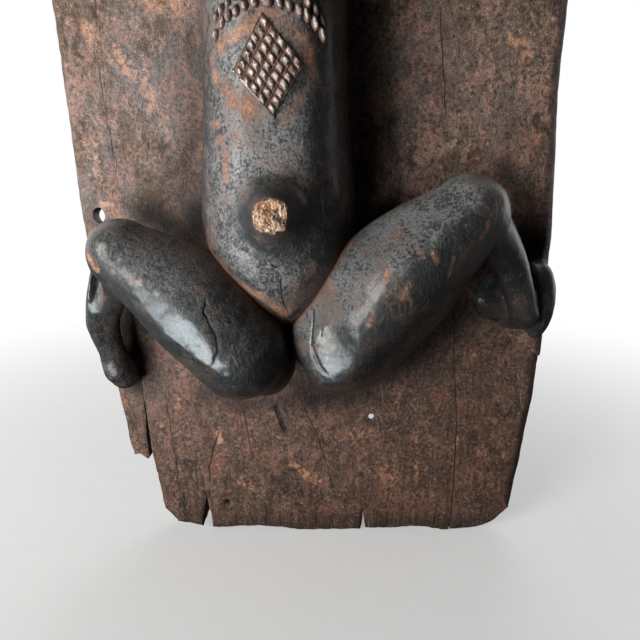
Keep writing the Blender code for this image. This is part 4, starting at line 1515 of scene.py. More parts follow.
@dataclass
class Arm:
    """An arm bent at the elbow, its hand laid flat on the chest."""

    sign: int
    body: Torso
    shoulder_out: float = 0.087
    shoulder_relief: float = 0.019
    shoulder_height: float = 0.198
    elbow_out: float = FIGURE_X - DOOR_LEFT - 0.022
    elbow_relief: float = 0.017
    elbow_height: float = 0.128
    wrist_out: float = 0.058
    wrist_height: float = 0.137
    shoulder_radius: float = 0.026
    elbow_radius: float = 0.0215
    wrist_radius: float = 0.0145
    palm_reach: float = 0.022
    finger_reach: float = 0.026
    finger_radius: float = 0.0044
    fingers: int = 4
    cell: float = 0.0011

    def on_chest(self, x: float, z: float, lift: float) -> Point:
        """A place a little above the chest, as x, relief and z."""
        return x, float(self.body.stands(x, z)) + lift, z

    def build(self) -> Shape:
        """Fuse the upper arm, forearm, hand and fingers, and carve them.

        Returns:
            The arm's skin.
        """
        sign = self.sign
        shoulder = (FIGURE_X + sign * self.shoulder_out, self.shoulder_relief, self.shoulder_height)
        elbow = (FIGURE_X + sign * self.elbow_out, self.elbow_relief, self.elbow_height)
        wrist_x = FIGURE_X + sign * self.wrist_out
        palm_x, palm_z = wrist_x - sign * self.palm_reach, self.wrist_height + 0.002
        wrist = self.on_chest(wrist_x, self.wrist_height, self.wrist_radius * 0.9)
        palm = self.on_chest(palm_x, palm_z, self.wrist_radius * 0.35)
        x, relief, z = Leg.between(elbow, wrist, 0.5)
        parts = [tube([(*shoulder, self.shoulder_radius),
                       (*Leg.between(shoulder, elbow, 0.5), self.shoulder_radius * 0.88),
                       (*elbow, self.elbow_radius)], 48),
                 tube([(*elbow, self.elbow_radius * 0.95), (x, relief + 0.004, z, self.elbow_radius * 0.9),
                       (*wrist, self.wrist_radius)], 48),
                 tube([(*wrist, self.wrist_radius * 0.9), (*palm, self.wrist_radius * 1.25)], 48, 0.6)]
        for finger in range(self.fingers):
            spread = (finger - (self.fingers - 1) / 2) * self.finger_radius * 2.05
            length = self.finger_reach * (1 - 0.10 * abs(finger - 1.4))
            rows = []
            for share in (0.0, 0.5, 1.0):
                x, z = palm_x - sign * length * share, palm_z + spread * (1 + 0.1 * share) + 0.004 * share
                rows.append((*self.on_chest(x, z, self.finger_radius * (0.75 - 0.25 * share)),
                             self.finger_radius * (1 - 0.15 * share)))
            parts.append(tube(rows, 20))
        thumb = [(*self.on_chest(palm_x + sign * 0.004, palm_z + 0.010, 0.004), 0.0056),
                 (*self.on_chest(palm_x - sign * 0.006, palm_z + 0.019, 0.003), 0.0050),
                 (*self.on_chest(palm_x - sign * 0.014, palm_z + 0.024, 0.002), 0.0044)]
        parts.append(tube(thumb, 20))
        return carve(Shape.fused(parts, self.cell).eased(4), 90 + 10 * sign, 0.00035).dust()


@dataclass
class Head:
    """The neck and head: a calm, even face with lidded eyes, ears, and hair combed back in ridges."""

    neck_width: float = 0.054
    neck_relief: float = 0.047
    neck_foot: float = 0.196
    chin: float = 0.246
    crown: float = 0.400
    width: float = 0.090
    relief: float = 0.088
    power: float = 2.35
    shares: tuple = ((0.0, 0.40, 0.72), (0.07, 0.62, 0.88), (0.20, 0.82, 0.96), (0.38, 0.95, 0.98),
                     (0.55, 1.0, 1.0), (0.70, 0.98, 0.96), (0.85, 0.82, 0.80), (0.95, 0.55, 0.58),
                     (1.0, 0.28, 0.34))
    nose: float = 0.0095
    mouth: float = 0.025
    eye: float = 0.021
    ear: float = 0.034
    ridges: int = 9
    ridge_radius: float = 0.0046
    cell: float = 0.0010

    def stations(self) -> Array:
        """The sections from chin to crown: x, half width, relief and z."""
        rows = curve_through(self.shares, 14)
        return np.stack([np.full(len(rows), FIGURE_X), self.width / 2 * rows[:, 1], self.relief * rows[:, 2],
                         self.chin + 0.004 + (self.crown - self.chin) * rows[:, 0]], 1)

    def stands(self, x: float, z: float) -> float:
        """Find how far the head stands out at a place on its front.

        Args:
            x: the place across.
            z: the place's height.

        Returns:
            The relief there.
        """
        _, half, relief, heights = self.stations().T
        share = min(abs(x - FIGURE_X) / float(np.interp(z, heights, half)), 1.0)
        return float(np.interp(z, heights, relief)) * (1 - share ** self.power) ** (1 / self.power)

    def up(self, share: float) -> float:
        """A height between the chin and the crown."""
        return self.chin + (self.crown - self.chin) * share

    def face(self) -> list[Shape]:
        """Make the nose, mouth, eyes, brows and ears.

        Returns:
            Their skins.
        """
        brow, tip, lips, eyes = self.up(0.545), self.up(0.33), self.up(0.17), self.up(0.44)
        bridge = ((brow, -0.35, 0.55), (self.up(0.42), 0.1, 0.7), (tip, 0.4, 1.0))
        parts = [tube([(FIGURE_X, self.stands(FIGURE_X, z) + self.nose * out, z, self.nose * size)
                       for z, out, size in bridge], 32)]
        depth = self.stands(FIGURE_X, lips)
        for lift, size in ((0.16, 0.17), (-0.17, 0.19)):
            parts.append(lump(FIGURE_X, depth - self.mouth * 0.05, lips + self.mouth * lift,
                              (self.mouth * 0.50, self.mouth * 0.24, self.mouth * size)))
        for sign in (-1, 1):
            wing = FIGURE_X + sign * self.nose * 0.85
            parts.append(lump(wing, self.stands(wing, tip) + self.nose * 0.05, tip - self.nose * 0.1,
                              (self.nose * 0.55, self.nose * 0.7, self.nose * 0.5)))
            x = FIGURE_X + sign * self.width * 0.205
            depth = self.stands(x, eyes)
            parts.append(lump(x, depth - self.eye * 0.14, eyes,
                              (self.eye * 0.50, self.eye * 0.30, self.eye * 0.26), sign * 0.10))
            parts.append(lump(x, depth - self.eye * 0.10, eyes + self.eye * 0.15,
                              (self.eye * 0.60, self.eye * 0.31, self.eye * 0.21), sign * 0.10))
            rows = []
            for share in (0.07, 0.21, 0.34):
                bend = FIGURE_X + sign * self.width * share
                z = brow + self.eye * (0.10 + 0.35 * math.sin(math.pi * (share - 0.02) / 0.40))
                rows.append((bend, self.stands(bend, z) - self.eye * 0.08, z,
                             self.eye * (0.19 - 0.22 * (share - 0.07))))
            parts.append(tube(rows, 20))
            ear = FIGURE_X + sign * self.width * 0.475
            parts.append(lump(ear, self.relief * 0.42, self.up(0.43),
                              (self.ear * 0.18, self.ear * 0.28, self.ear * 0.50)))
            parts.append(lump(ear + sign * 0.0015, self.relief * 0.40, self.up(0.34),
                              (self.ear * 0.15, self.ear * 0.18, self.ear * 0.20)))
        return parts

    def hair(self) -> list[Shape]:
        """Comb the hair in ridges, from the hairline back over the crown.

        Returns:
            The ridges' skins.
        """
        _, widths, _, heights = self.stations().T
        parts = []
        for ridge in np.linspace(-0.86, 0.86, self.ridges):
            rows = []
            for up in (0.67, 0.78, 0.88, 0.95, 1.0):
                z = self.up(up)
                x = FIGURE_X + ridge * float(np.interp(z, heights, widths))
                rows.append((x, self.stands(x, z) - self.ridge_radius * 0.35, z,
                             self.ridge_radius * (1.15 - 0.25 * up)))
            parts.append(tube(rows, 20))
        return parts

    def build(self) -> Shape:
        """Fuse the neck, head, face and hair, and carve them.

        Returns:
            The head's skin.
        """
        neck = [(FIGURE_X, self.neck_width / 2 * share, self.neck_relief * share, z)
                for share, z in ((1.12, self.neck_foot), (1.0, self.neck_foot + 0.02), (0.92, self.chin),
                                 (0.90, self.chin + 0.035))]
        parts = [half_round(self.stations(), self.power, 90),
                 half_round(curve_through(neck, 12), self.power, 70), *self.face(), *self.hair()]
        return carve(Shape.fused(parts, self.cell).eased(3), 110, 0.00022).dust()


class Edge(Enum):
    """A run of a board's outline: how ragged it is, and how far its front edge is worn."""

    SPLIT = (0.0012, 0.0003)
    OUTER = (0.0007, 0.0055)
    SHOULDER = (0.0005, 0.0115)
    FOOT = (0.0013, 0.0030)
    BREAK = (0.0014, 0.0020)
    TOP = (0.0007, 0.0050)
    HOLE = (0.0005, 0.0016)


@dataclass
class Board:
    """One board of the leaf: its outline by runs, counter-clockwise from the front, and its holes."""

    name: str
    node: str
    runs: list[tuple[list[Place], Edge]]
    holes: list[list[Place]] = field(default_factory=list)
    slant: Place = (0.0, 0.0)
    spacing: float = 0.0021
    back_spacing: float = 0.0042
    rows: int = 9
    seed: int = 130
    ledge: tuple = ()
    shape: Shape = field(init=False)

    def outlines(self) -> list[tuple[Array, Array, Array]]:
        """Resample the outline and the holes, and make them ragged.

        Returns:
            For each closed line its points, each point's raggedness and each point's wear.
        """
        lines = [[(place, edge) for places, edge in self.runs for place in places]]
        lines += [[(place, Edge.HOLE) for place in hole] for hole in self.holes]
        made = []
        for line in lines:
            points, ragged, worn, split = [], [], [], []
            for (start, edge), (end, _) in zip(line, line[1:] + line[:1]):
                count = max(int(math.dist(start, end) / (self.spacing * 0.85)), 1)
                for step in range(count):
                    points.append([a + (b - a) * step / count for a, b in zip(start, end)])
                    ragged.append(edge.value[0])
                    worn.append(edge.value[1])
                    split.append(edge is Edge.SPLIT)
            points, ragged, split = np.array(points), np.array(ragged), np.array(split)
            loose = Noise.layered(on_plane(points), 0.024, self.seed, 4)[:, None] * outwards(points) * ragged[:, None]
            upright = np.stack([np.zeros(len(points)), np.zeros(len(points)), points[:, 1]], 1)
            torn = Noise.layered(upright, 0.060, 7, 5)[:, None] * np.array([1.0, 0.0]) * ragged[:, None]
            made.append((points + np.where(split[:, None], torn, loose), ragged, np.array(worn)))
        return made

    def inside(self, points: Array, lines: Sequence[Array]) -> Array:
        """Tell which points lie inside the outline and outside the holes."""
        odd = np.zeros(len(points), dtype=bool)
        for line in lines:
            for (x0, z0), (x1, z1) in zip(line, np.roll(line, -1, 0)):
                if z0 != z1:
                    spans = (z0 > points[:, 1]) != (z1 > points[:, 1])
                    odd ^= spans & (points[:, 0] < (x1 - x0) * (points[:, 1] - z0) / (z1 - z0) + x0)
        return odd

    def face(self, lines: Sequence[Array], spacing: float) -> tuple[Array, Array, Array]:
        """Fill the outline with even triangles.

        Args:
            lines: the closed lines.
            spacing: the distance between the points inside.

        Returns:
            The points, the triangles, and where the lines' points are among them.
        """
        rim = np.vstack(lines)
        low, high = rim.min(0), rim.max(0)
        grid = np.stack(np.meshgrid(np.arange(low[0], high[0], spacing), np.arange(low[1], high[1], spacing * 0.866),
                                    indexing="ij"), -1)
        grid[:, ::2, 0] += spacing / 2
        grid = grid.reshape(-1, 2)
        flat = on_plane(grid)
        grid = grid + spacing * 0.16 * np.stack([Noise.smooth(flat, spacing, 3), Noise.smooth(flat, spacing, 4)], 1)
        grid = grid[self.inside(grid, lines)]
        tree = line_tree(rim)
        clear = np.array([tree.find((x, 0, z))[2] > spacing * 0.55 for x, z in grid.tolist()])
        places = np.vstack([rim, grid[clear]])
        edges, start = [], 0
        for line in lines:
            edges += [(start + k, start + (k + 1) % len(line)) for k in range(len(line))]
            start += len(line)
        verts, _, faces, origin, _, _ = delaunay_2d_cdt([Vector(p) for p in places], edges, [], 0, 1e-7)
        points, triangles = np.array([tuple(v) for v in verts]), np.array(faces)
        triangles = triangles[self.inside(points[triangles].mean(1), lines)]
        where = np.empty(len(places), dtype=np.int64)
        for index, sources in enumerate(origin):
            where[sources] = index
        return points, triangles, where[:len(rim)]

    def front(self, flat: Array, gap: Array, wear: Array, sight: Sight) -> Array:
        """Work out the front's height over its plane: tool marks, grain, worn edges and the ledge.

        Args:
            flat: the points, with y as 0.
            gap: how far each lies from the outline.
            wear: how far the nearest edge is worn.
            sight: the camera that the ledge was seen from.

        Returns:
            The height of each point, outwards.
        """
        low = 1 - gentle(flat[:, 2], DOOR_FOOT, DOOR_FOOT + 0.11)
        height = 0.00055 * Noise.layered(flat, (0.030, 1.0, 0.055), 130, 2)
        height += (0.00022 + 0.0004 * low) * Noise.layered(flat, (0.0055, 1.0, 0.10), 135, 2)
        height += 0.00012 * Noise.layered(flat, (0.004, 1.0, 0.004), 139, 2) - 0.0007 * low
        reach = wear * (1 + 0.25 * Noise.smooth(flat, 0.02, self.seed + 12)) + 1e-6
        height -= 0.45 * wear * np.clip(1 - gap / reach, 0, 1) ** 2
        if self.ledge:
            plane = BVHTree.FromPolygons([(-1, FRONT, -1), (1, FRONT, -1), (1, FRONT, 1), (-1, FRONT, 1)], [(0, 1, 2, 3)])
            path = sight.traced(self.ledge, plane, 4.0)
            best, above = np.full(len(flat), 1.0), np.zeros(len(flat))
            for start, end in zip(path, path[1:]):
                line = (end - start)[[0, 2]]
                away = flat[:, [0, 2]] - start[[0, 2]]
                share = np.clip(away @ line / (line @ line), 0, 1)
                apart = np.linalg.norm(away - share[:, None] * line, axis=1)
                closer = apart < best
                best = np.where(closer, apart, best)
                above = np.where(closer, line[0] * away[:, 1] - line[1] * away[:, 0] > 0, above)
            height += np.where(above, 0.0034 * gentle(best, -0.001, 0.0035) * (1 - gentle(best, 0.012, 0.045)), 0.0)
        return height

    def build(self, sight: Sight, figure: BVHTree, cracks: Sequence[Crack], rubs: Sequence[Rub],
              soot: Sequence[Rub]) -> Shape:
        """Make the board's front, back and sides.

        Args:
            sight: the camera that its marks were seen from.
            figure: the figure's surface, to which the front rises in a small fillet.
            cracks: the cracks on the front.
            rubs: the rubbed places on the front.
            soot: the places where shade is painted near-black.

        Returns:
            The board's skin.
        """
        outlines = self.outlines()
        lines, rim_wear = [line for line, _, _ in outlines], np.concatenate([worn for _, _, worn in outlines])
        rim = np.vstack(lines)
        tree = line_tree(rim)
        faces = []
        for spacing, shift in ((self.spacing, 0.0), (self.back_spacing, 1.0)):
            moved = lines[:1] + [line + shift * np.array(self.slant) for line in lines[1:]]
            places, triangles, where = self.face(moved, spacing)
            flat = on_plane(places)
            found = [tree.find(point) for point in flat.tolist()]
            gap, wear = np.array([f[2] for f in found]), rim_wear[[f[1] for f in found]]
            faces.append((flat, triangles, where, gap, wear))
        flat, triangles, where, gap, wear = faces[0]
        fillet = np.zeros(len(flat))
        for index, (x, _, z) in enumerate(flat.tolist()):
            apart = figure.find_nearest((x, FRONT, z), 0.005)[3]
            fillet[index] = 0.0 if apart is None else 0.0026 * (1 - apart / 0.005) ** 2
        height = self.front(flat, gap, wear, sight) + fillet
        front = flat + np.stack([0 * height, FRONT - height, 0 * height], 1)
        rear, rear_triangles, rear_where, rear_gap, _ = faces[1]
        dents = 0.0006 * np.abs(Noise.layered(rear, (0.020, 1.0, 0.042), self.seed + 20, 2))
        dents += 0.0011 * (1 - gentle(rear_gap, 0.0, 0.003))
        rear = rear - np.stack([0 * dents, dents, 0 * dents], 1)
        points, pieces = [front, rear], [triangles, rear_triangles[:, ::-1] + len(front)]
        total, start, layers = len(front) + len(rear), 0, np.linspace(0, 1, self.rows)
        for line, _, _ in outlines:
            count = len(line)
            ahead, behind = where[start:start + count], rear_where[start:start + count] + len(front)
            out = on_plane(outwards(line))
            rings = [ahead]
            for share in layers[1:-1]:
                ring = front[ahead] * (1 - share) + rear[behind - len(front)] * share
                ring = ring + out * (0.0006 * Noise.layered(ring, (0.02, 0.006, 0.05), self.seed + 30, 3)[:, None] - 0.0003)
                points.append(ring)
                rings.append(np.arange(total, total + count))
                total += count
            rings.append(behind)
            for near, far in zip(rings, rings[1:]):
                pieces.append(walled(near, far))
            start += count
        self.shape = Shape(np.vstack(points), np.vstack(pieces)).turned_out()
        self.mark(gap, wear, len(front))
        self.shape.crack(cracks, sight).rub(rubs, sight).rub(soot, sight, "soot")
        return self.shape

    def mark(self, gap: Array, wear: Array, fronts: int) -> None:
        """Mark the worn edges and the weathered foot for the finish.

        Args:
            gap: how far each front point lies from the outline.
            wear: how far the nearest edge is worn.
            fronts: how many points the front has.
        """
        points = self.shape.points
        edge = np.full(len(points), 0.35)
        edge[:fronts] = 0.55 * (1 - gentle(gap, 0.2 * wear, 1.1 * wear + 1e-6)) * gentle(wear, 0.002, 0.010)
        self.shape.masks["edge"] = edge
        self.shape.masks["foot"] = 1 - gentle(points[:, 2], DOOR_FOOT, DOOR_FOOT + 0.06)
        self.shape.masks["back"] = gentle(points[:, 1], 0.6 * FRONT, 0.2 * FRONT)


@dataclass
class Leaf:
    """The door's leaf: the main board between two splits, the strip left of it and the board right of it."""

    split_gap: float = 0.00008
    strip_edge: tuple = ((0.0, DOOR_TOP), (0.002, -0.070), (0.009, -0.180), (0.015, -0.248), (0.022, -0.318))
    strip_break: tuple = ((0.024, -0.327), (0.031, -0.325), (0.038, -0.331))
    left_split: tuple = ((0.036, DOOR_TOP), (0.0375, 0.05), (0.041, -0.250), (0.044, -0.331))
    lower_left: tuple = ((0.046, -0.350), (0.050, -0.395))
    right_edge: tuple = ((0.0195, DOOR_TOP), (0.0135, 0.020), (0.003, -0.100), (0.0, -0.180), (0.001, -0.262),
                         (0.010, -0.392))
    right_split: tuple = ((0.068, DOOR_TOP), (0.107, 0.052), (0.119, -0.026), (0.149, -0.295), (0.1505, DOOR_FOOT))
    centre_foot: tuple = ((-0.150, 0.010), (-0.122, 0.003), (-0.1165, 0.048), (-0.112, 0.002), (-0.060, 0.004),
                          (-0.010, 0.0), (0.052, 0.0), (0.0545, 0.026), (0.0575, 0.002), (0.110, 0.003))
    right_foot: tuple = ((0.180, 0.003), (0.191, 0.006), (0.200, 0.012), (0.207, 0.020))
    tie_hole: tuple = (DOOR_LEFT + 0.0185, -0.082, 0.005, 0.0065)
    tie_slant: tuple = (-0.0085, -0.0004)
    nail_hole: tuple = (0.0595, -0.2826, 0.0030, 0.0030)
    nail_slant: tuple = (0.0039, -0.0154)
    peg_inset: float = 0.019
    peg_radius: float = 0.0125
    peg_height: float = 0.045
    ledge: tuple = ((462, 288), (480, 304), (505, 328), (530, 348))
    cracks: tuple = (
        Crack(((166, 398), (171, 430), (176, 458), (179, 490), (182, 521)), 0.0008, 0.0),
        Crack(((243, 404), (248, 434), (255, 466)), 0.0007, 0.0),
        Crack(((297, 392), (318, 436), (329, 472), (337, 506)), 0.0007, 0.0),
        Crack(((306, 392), (320, 415), (342, 452)), 0.0004, 0.0),
        Crack(((220, 428), (213, 452), (209, 468), (212, 484)), 0.0013, 0.0006),
        Crack(((229, 466), (231, 482)), 0.0008, 0.0), Crack(((275, 404), (281, 420), (288, 435)), 0.0048, 0.0016),
        Crack(((228, 500), (229, 506)), 0.0034, 0.0030), Crack(((402, 405), (404, 440)), 0.0004, 0.0),
        Crack(((265, 500), (267, 522)), 0.0007, 0.0), Crack(((316, 512), (317, 528)), 0.0008, 0.0),
        Crack(((195, 440), (198, 500)), 0.0004, 0.0), Crack(((352, 455), (356, 520)), 0.0004, 0.0),
        Crack(((128, 392), (134, 440)), 0.0004, 0.0), Crack(((430, 455), (427, 515)), 0.0004, 0.0),
        Crack(((97, 56), (104, 100), (110, 135), (118, 170)), 0.0005, 0.0),
        Crack(((440, 0), (442, 40), (444, 80), (447, 128)), 0.0008, 0.0))
    rubs: tuple = (
        Rub(((118, 50), (124, 60), (131, 74)), 0.011), Rub(((150, 3), (175, 5)), 0.016, 0.9), Rub(((86, 25), (90, 40)), 0.008),
        Rub(((143, 82), (150, 104)), 0.014, 0.8), Rub(((187, 152), (190, 157)), 0.005), Rub(((102, 203), (111, 205)), 0.006),
        Rub(((92, 150), (98, 178)), 0.012, 0.8), Rub(((160, 130), (172, 150)), 0.012, 0.7), Rub(((161, 426),), 0.009),
        Rub(((218, 432), (221, 442)), 0.010), Rub(((278, 437), (288, 439)), 0.006), Rub(((295, 466), (306, 474), (318, 480)), 0.016),
        Rub(((352, 440), (366, 430)), 0.016, 0.8), Rub(((370, 468), (390, 476)), 0.018, 0.7), Rub(((457, 436), (457, 444)), 0.005),
        Rub(((502, 450), (503, 456)), 0.004), Rub(((510, 34), (513, 46)), 0.007), Rub(((518, 40), (525, 48), (530, 60)), 0.010),
        Rub(((521, 80), (541, 68)), 0.010, 0.8), Rub(((487, 50),), 0.008, 0.8), Rub(((537, 138),), 0.009, 0.8),
        Rub(((548, 168),), 0.007, 0.9), Rub(((443, 76), (444, 86)), 0.0045), Rub(((452, 141),), 0.007, 0.7),
        Rub(((415, 430), (418, 478)), 0.016, 0.6), Rub(((181, 398), (179, 408)), 0.006, 0.8), Rub(((470, 352), (474, 356)), 0.006),
        Rub(((240, 480), (262, 492)), 0.012, 0.7), Rub(((480, 430), (485, 470)), 0.014, 0.6))
    # strokes of painted shade on the boards: beside the body, above and under the thighs, by the shins and right of the
    # right knee
    soot: tuple = (
        Rub(((198, 40), (197, 120), (193, 180), (186, 215)), 0.040, 0.50), Rub(((150, 216), (165, 224), (188, 234), (199, 215)), 0.034),
        Rub(((205, 394), (240, 404), (290, 402)), 0.020, 0.7), Rub(((300, 394), (345, 398), (395, 370), (440, 332), (468, 308)), 0.030, 0.8),
        Rub(((503, 172), (524, 200), (536, 240)), 0.022, 0.8), Rub(((128, 310), (138, 350), (136, 384)), 0.020),
        Rub(((116, 296), (121, 320), (126, 350), (124, 375)), 0.016))

    @staticmethod
    def from_left(line: Sequence[Place], offset: float = 0.0) -> list[Place]:
        """A line given by its distances in from the door's left side."""
        return [(DOOR_LEFT + inset + offset, z) for inset, z in line]

    @staticmethod
    def from_right(line: Sequence[Place]) -> list[Place]:
        """A line given by its distances in from the door's right side."""
        return [(DOOR_RIGHT - inset, z) for inset, z in line]

    @staticmethod
    def oval(x: float, z: float, across: float, up: float) -> list[Place]:
        """A hole's outline, clockwise."""
        return [(x + across * math.cos(t), z - up * math.sin(t)) for t in np.linspace(0, 2 * math.pi, 28, endpoint=False)]

    def boards(self) -> list[Board]:
        """Lay out the three boards.

        Returns:
            The boards, main board first.
        """
        gap = self.split_gap
        split = [(x - gap * (6 if z < -0.2 else 1), z) for x, z in self.right_split[::-1]]
        foot = [(x, DOOR_FOOT + rise) for x, rise in self.centre_foot]
        centre = Board("worn_centre_board", "centre_board",
                       [(foot, Edge.FOOT), (split[:-1], Edge.SPLIT), (split[-1:], Edge.TOP),
                        (self.from_left(self.left_split, gap), Edge.SPLIT), (self.from_left(self.lower_left), Edge.OUTER)],
                       [self.oval(*self.nail_hole)], self.nail_slant)
        inner = self.from_left(self.left_split[:-1][::-1], -gap)
        strip = Board("worn_left_strip", "left_edge_strip",
                      [(self.from_left(self.strip_break), Edge.BREAK), (inner[:-1], Edge.SPLIT), (inner[-1:], Edge.TOP),
                       (self.from_left(self.strip_edge), Edge.OUTER)], [self.oval(*self.tie_hole)], self.tie_slant,
                      spacing=0.0018, back_spacing=0.0034, seed=160)
        split = [(x + gap * (6 if z < -0.2 else 1), z) for x, z in self.right_split]
        foot = [split[-1]] + [(x, DOOR_FOOT + rise) for x, rise in self.right_foot]
        edge = self.from_right(self.right_edge)[::-1]
        right = Board("worn_right_board", "right_board",
                      [(foot, Edge.FOOT), (edge[:-1], Edge.SHOULDER), (edge[-1:], Edge.TOP), (split[:-1], Edge.SPLIT)],
                      spacing=0.0019, back_spacing=0.0036, seed=190, ledge=self.ledge)
        return [centre, strip, right]

    def peg(self) -> Shape:
        """The upper pivot peg, worn thin towards its top."""
        rows = curve_through([(DOOR_TOP - 0.03, 1.0), (DOOR_TOP + self.peg_height * 0.25, 1.0),
                              (DOOR_TOP + self.peg_height * 0.85, 0.88), (DOOR_TOP + self.peg_height * 0.98, 0.70),
                              (DOOR_TOP + self.peg_height, 0.30)], 10)
        turns = np.linspace(0, 2 * math.pi, 64, endpoint=False)
        rings = [np.stack([DOOR_LEFT + self.peg_inset + self.peg_radius * share * np.cos(turns),
                           FRONT / 2 + self.peg_radius * share * np.sin(turns), np.full(64, z)], 1) for z, share in rows]
        peg = Shape.lofted(rings)
        peg.pushed(0.0005 * Noise.layered(peg.points, (0.006, 0.006, 0.03), 77, 3))
        peg.masks["edge"] = np.full(len(peg.points), 0.4)
        return peg

    def build(self, sight: Sight, figure: BVHTree, material: bpy.types.Material) -> None:
        """Make the boards and set them up.

        Args:
            sight: the camera that their marks were seen from.
            figure: the figure's surface.
            material: the boards' finish.
        """
        for board in self.boards():
            shape = board.build(sight, figure, self.cracks, self.rubs, self.soot)
            if board.node == "left_edge_strip":
                shape = Shape.joined([shape, self.peg()])
            shape.piece(board.name, material, "board_wood", board.node)


@dataclass
class Figure:
    """The seated figure, as its body, marks, limbs and head."""

    torso: Torso = field(default_factory=Torso)

    def build(self, sight: Sight) -> BVHTree:
        """Carve every part of the figure, mark the creases between them, and set the parts up.

        Args:
            sight: the camera that its marks were seen from.

        Returns:
            The whole figure's surface.
        """
        skin = BlackPatina().material()
        # the body's skin, whose brighter grey carries painted sheen
        dust_and_sheen_skin = DUST_AND_SHEEN_PATINA.material()
        body = self.torso.build(sight)
        limbs = {"left_leg": Leg.left().build(sight), "right_leg": Leg.right().build(sight),
                 "left_arm": Arm(-1, self.torso).build(), "right_arm": Arm(1, self.torso).build(),
                 "head": Head().build()}
        self.crease(body, list(limbs.values()))
        for shape in limbs.values():
            self.crease(shape, [body])
        body.piece("carved_torso", dust_and_sheen_skin, "carved_wood", "torso")
        for node, shape in limbs.items():
            shape.piece(f"carved_{node}", skin, "carved_wood", node)
        navel = Navel(self.torso).build()
        navel.piece("broken_navel", BrokenWood().material(), "carved_wood", "navel")
        scars = ScarPolish().material()
        for form, node in ((ScarForm.LOZENGE, "belly_lozenge"), (ScarForm.BAND, "chest_band")):
            marks = ScarMarks(form, self.torso).build()
            marks.piece(f"{form.value}_marks", scars, "carved_wood", node)
        return Shape.joined([body, *limbs.values()]).tree()

    @staticmethod
    def crease(shape: Shape, others: Sequence[Shape]) -> None:
        """Mark where a part meets the others.

        Args:
            shape: the part.
            others: the parts that it meets.
        """
        shape.masks["crease"] = np.maximum.reduce([shape.near(other.tree(), 0.012) for other in others])


@dataclass(frozen=True)
class Lamp:
    """A soft lamp: where it hangs, what it faces, its size, its brightness and its colour."""

    name: str
    place: tuple[float, float, float]
    aim: tuple[float, float, float]
    size: tuple[float, float]
    brightness: float
    colour: Colour = (1.0, 1.0, 1.0)

    def hang(self) -> bpy.types.Object:
        """Hang the lamp.

        Returns:
            The lamp.
        """
        data = bpy.data.lights.new(self.name, "AREA")
        data.shape, data.size, data.size_y = "RECTANGLE", *self.size
        data.energy = self.brightness * math.pi * self.size[0] * self.size[1]
        data.color = self.colour
        item = bpy.data.objects.new(self.name, data)
        item.location = self.place
        item.rotation_euler = (Vector(self.aim) - Vector(self.place)).to_track_quat("-Z", "Y").to_euler()
        item.visible_camera = False
        bpy.context.scene.collection.objects.link(item)
        return item


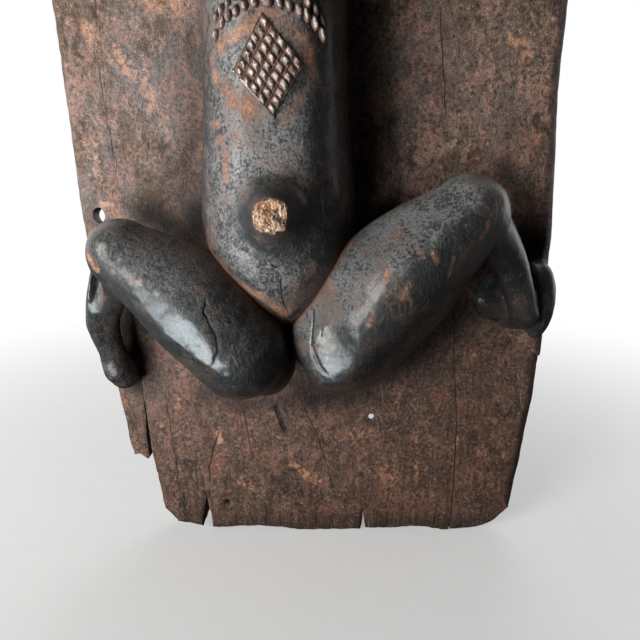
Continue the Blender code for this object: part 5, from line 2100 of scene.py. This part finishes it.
@dataclass
class Studio:
    """A plain pale floor, a white background and soft light from the left."""

    floor_colour: Colour = (0.80, 0.80, 0.80)
    floor_bounce: Colour = (0.06, 0.06, 0.06)
    floor_size: float = 9.0
    room: float = 0.004
    lamps: tuple = (
        Lamp("left_window", (-1.12, -0.95, 0.10), (0.0, -0.03, -0.02), (0.60, 1.20), 13.7, (1.0, 0.99, 0.97)),
        Lamp("table_glow", (-0.48, -0.54, -0.414), (-0.48, -0.54, 1.0), (0.48, 0.36), 15.0, (0.84, 0.94, 1.0)),
        Lamp("right_window", (1.45, 0.42, 0.25), (0.0, -0.06, 0.0), (0.8, 1.4), 0.8, (0.97, 0.99, 1.0)),
        Lamp("back_window", (0.55, 1.50, 0.70), (0.0, 0.0, 0.02), (1.4, 1.4), 2.2))

    def floor(self) -> bpy.types.Object:
        """Lay the floor under the door's foot: it takes the shadow, and turns white further off.

        Returns:
            The floor.
        """
        material, graph = new_material("pale_floor")
        place = graph.place()
        seen = graph.node("ShaderNodeLightPath", output="Is Camera Ray")
        grain = graph.noise(place, 60.0, 3.0)
        pale = graph.tint(self.floor_colour, (grain.rise(0.3, 0.7), tuple(c * 0.97 for c in self.floor_colour)))
        matt = graph.node("ShaderNodeBsdfDiffuse", {}, {"Color": graph.tint(self.floor_bounce, (seen, pale))})
        glow = graph.node("ShaderNodeEmission", {}, {"Color": (1.0, 1.0, 1.0), "Strength": 1.0})
        away = graph.node("ShaderNodeVectorMath", {"operation": "LENGTH"}, {0: place}, "Value")
        mixed = graph.node("ShaderNodeMixShader", {}, {0: seen * (0.30 + away.rise(0.25, 1.3) * 0.70), 1: matt, 2: glow})
        graph.node("ShaderNodeOutputMaterial", {}, {"Surface": mixed})
        half, level = self.floor_size / 2, CAD_BOX[0].z - 0.0015
        mesh = bpy.data.meshes.new("pale_floor")
        mesh.from_pydata([(-half, -half, level), (half, -half, level), (half, half, level), (-half, half, level)],
                         [], [(0, 1, 2, 3)])
        mesh.materials.append(material)
        item = bpy.data.objects.new("pale_floor", mesh)
        bpy.context.scene.collection.objects.link(item)
        return item

    def surround(self) -> None:
        """Make the surround: white behind the door and to the camera, dim in front of it."""
        world = bpy.data.worlds.new("studio")
        world.use_nodes = True
        bpy.context.scene.world = world
        graph = Graph(world.node_tree)
        behind = graph.along(graph.node("ShaderNodeTexCoord", output="Generated"), "Y").rise(-0.05, 0.35)
        paths = [graph.node("ShaderNodeLightPath", output=name)
                 for name in ("Is Camera Ray", "Is Glossy Ray", "Is Transmission Ray")]
        white = paths[0].most((paths[1].most(paths[2])) * behind)
        strength = white.most(self.room + behind * 0.12)
        shader = graph.node("ShaderNodeBackground", {}, {"Color": (1.0, 1.0, 1.0), "Strength": strength})
        graph.node("ShaderNodeOutputWorld", {}, {"Surface": shader})

    def build(self) -> None:
        """Set up the floor, the surround and the lamps."""
        self.floor()
        self.surround()
        for lamp in self.lamps:
            lamp.hang()
        view = bpy.context.scene.view_settings
        view.view_transform = "Standard"


def dress_dowels() -> None:
    """Give the hidden dowels their wood."""
    material = DowelWood().material()
    for name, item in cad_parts.items():
        if name.endswith("_dowel"):
            item.data.materials.clear()
            item.data.materials.append(material)
            LOG.info("%s: dressed", name)


def main() -> None:
    """Build the camera, the figure, the leaf, the dowels and the studio in order."""
    logging.basicConfig(level=logging.INFO, format="%(message)s")
    sight = Sight()
    sight.camera()
    surface = Figure().build(sight)
    Leaf().build(sight, surface, AgedBoard().material())
    dress_dowels()
    Studio().build()


if __name__ == "__main__":
    main()
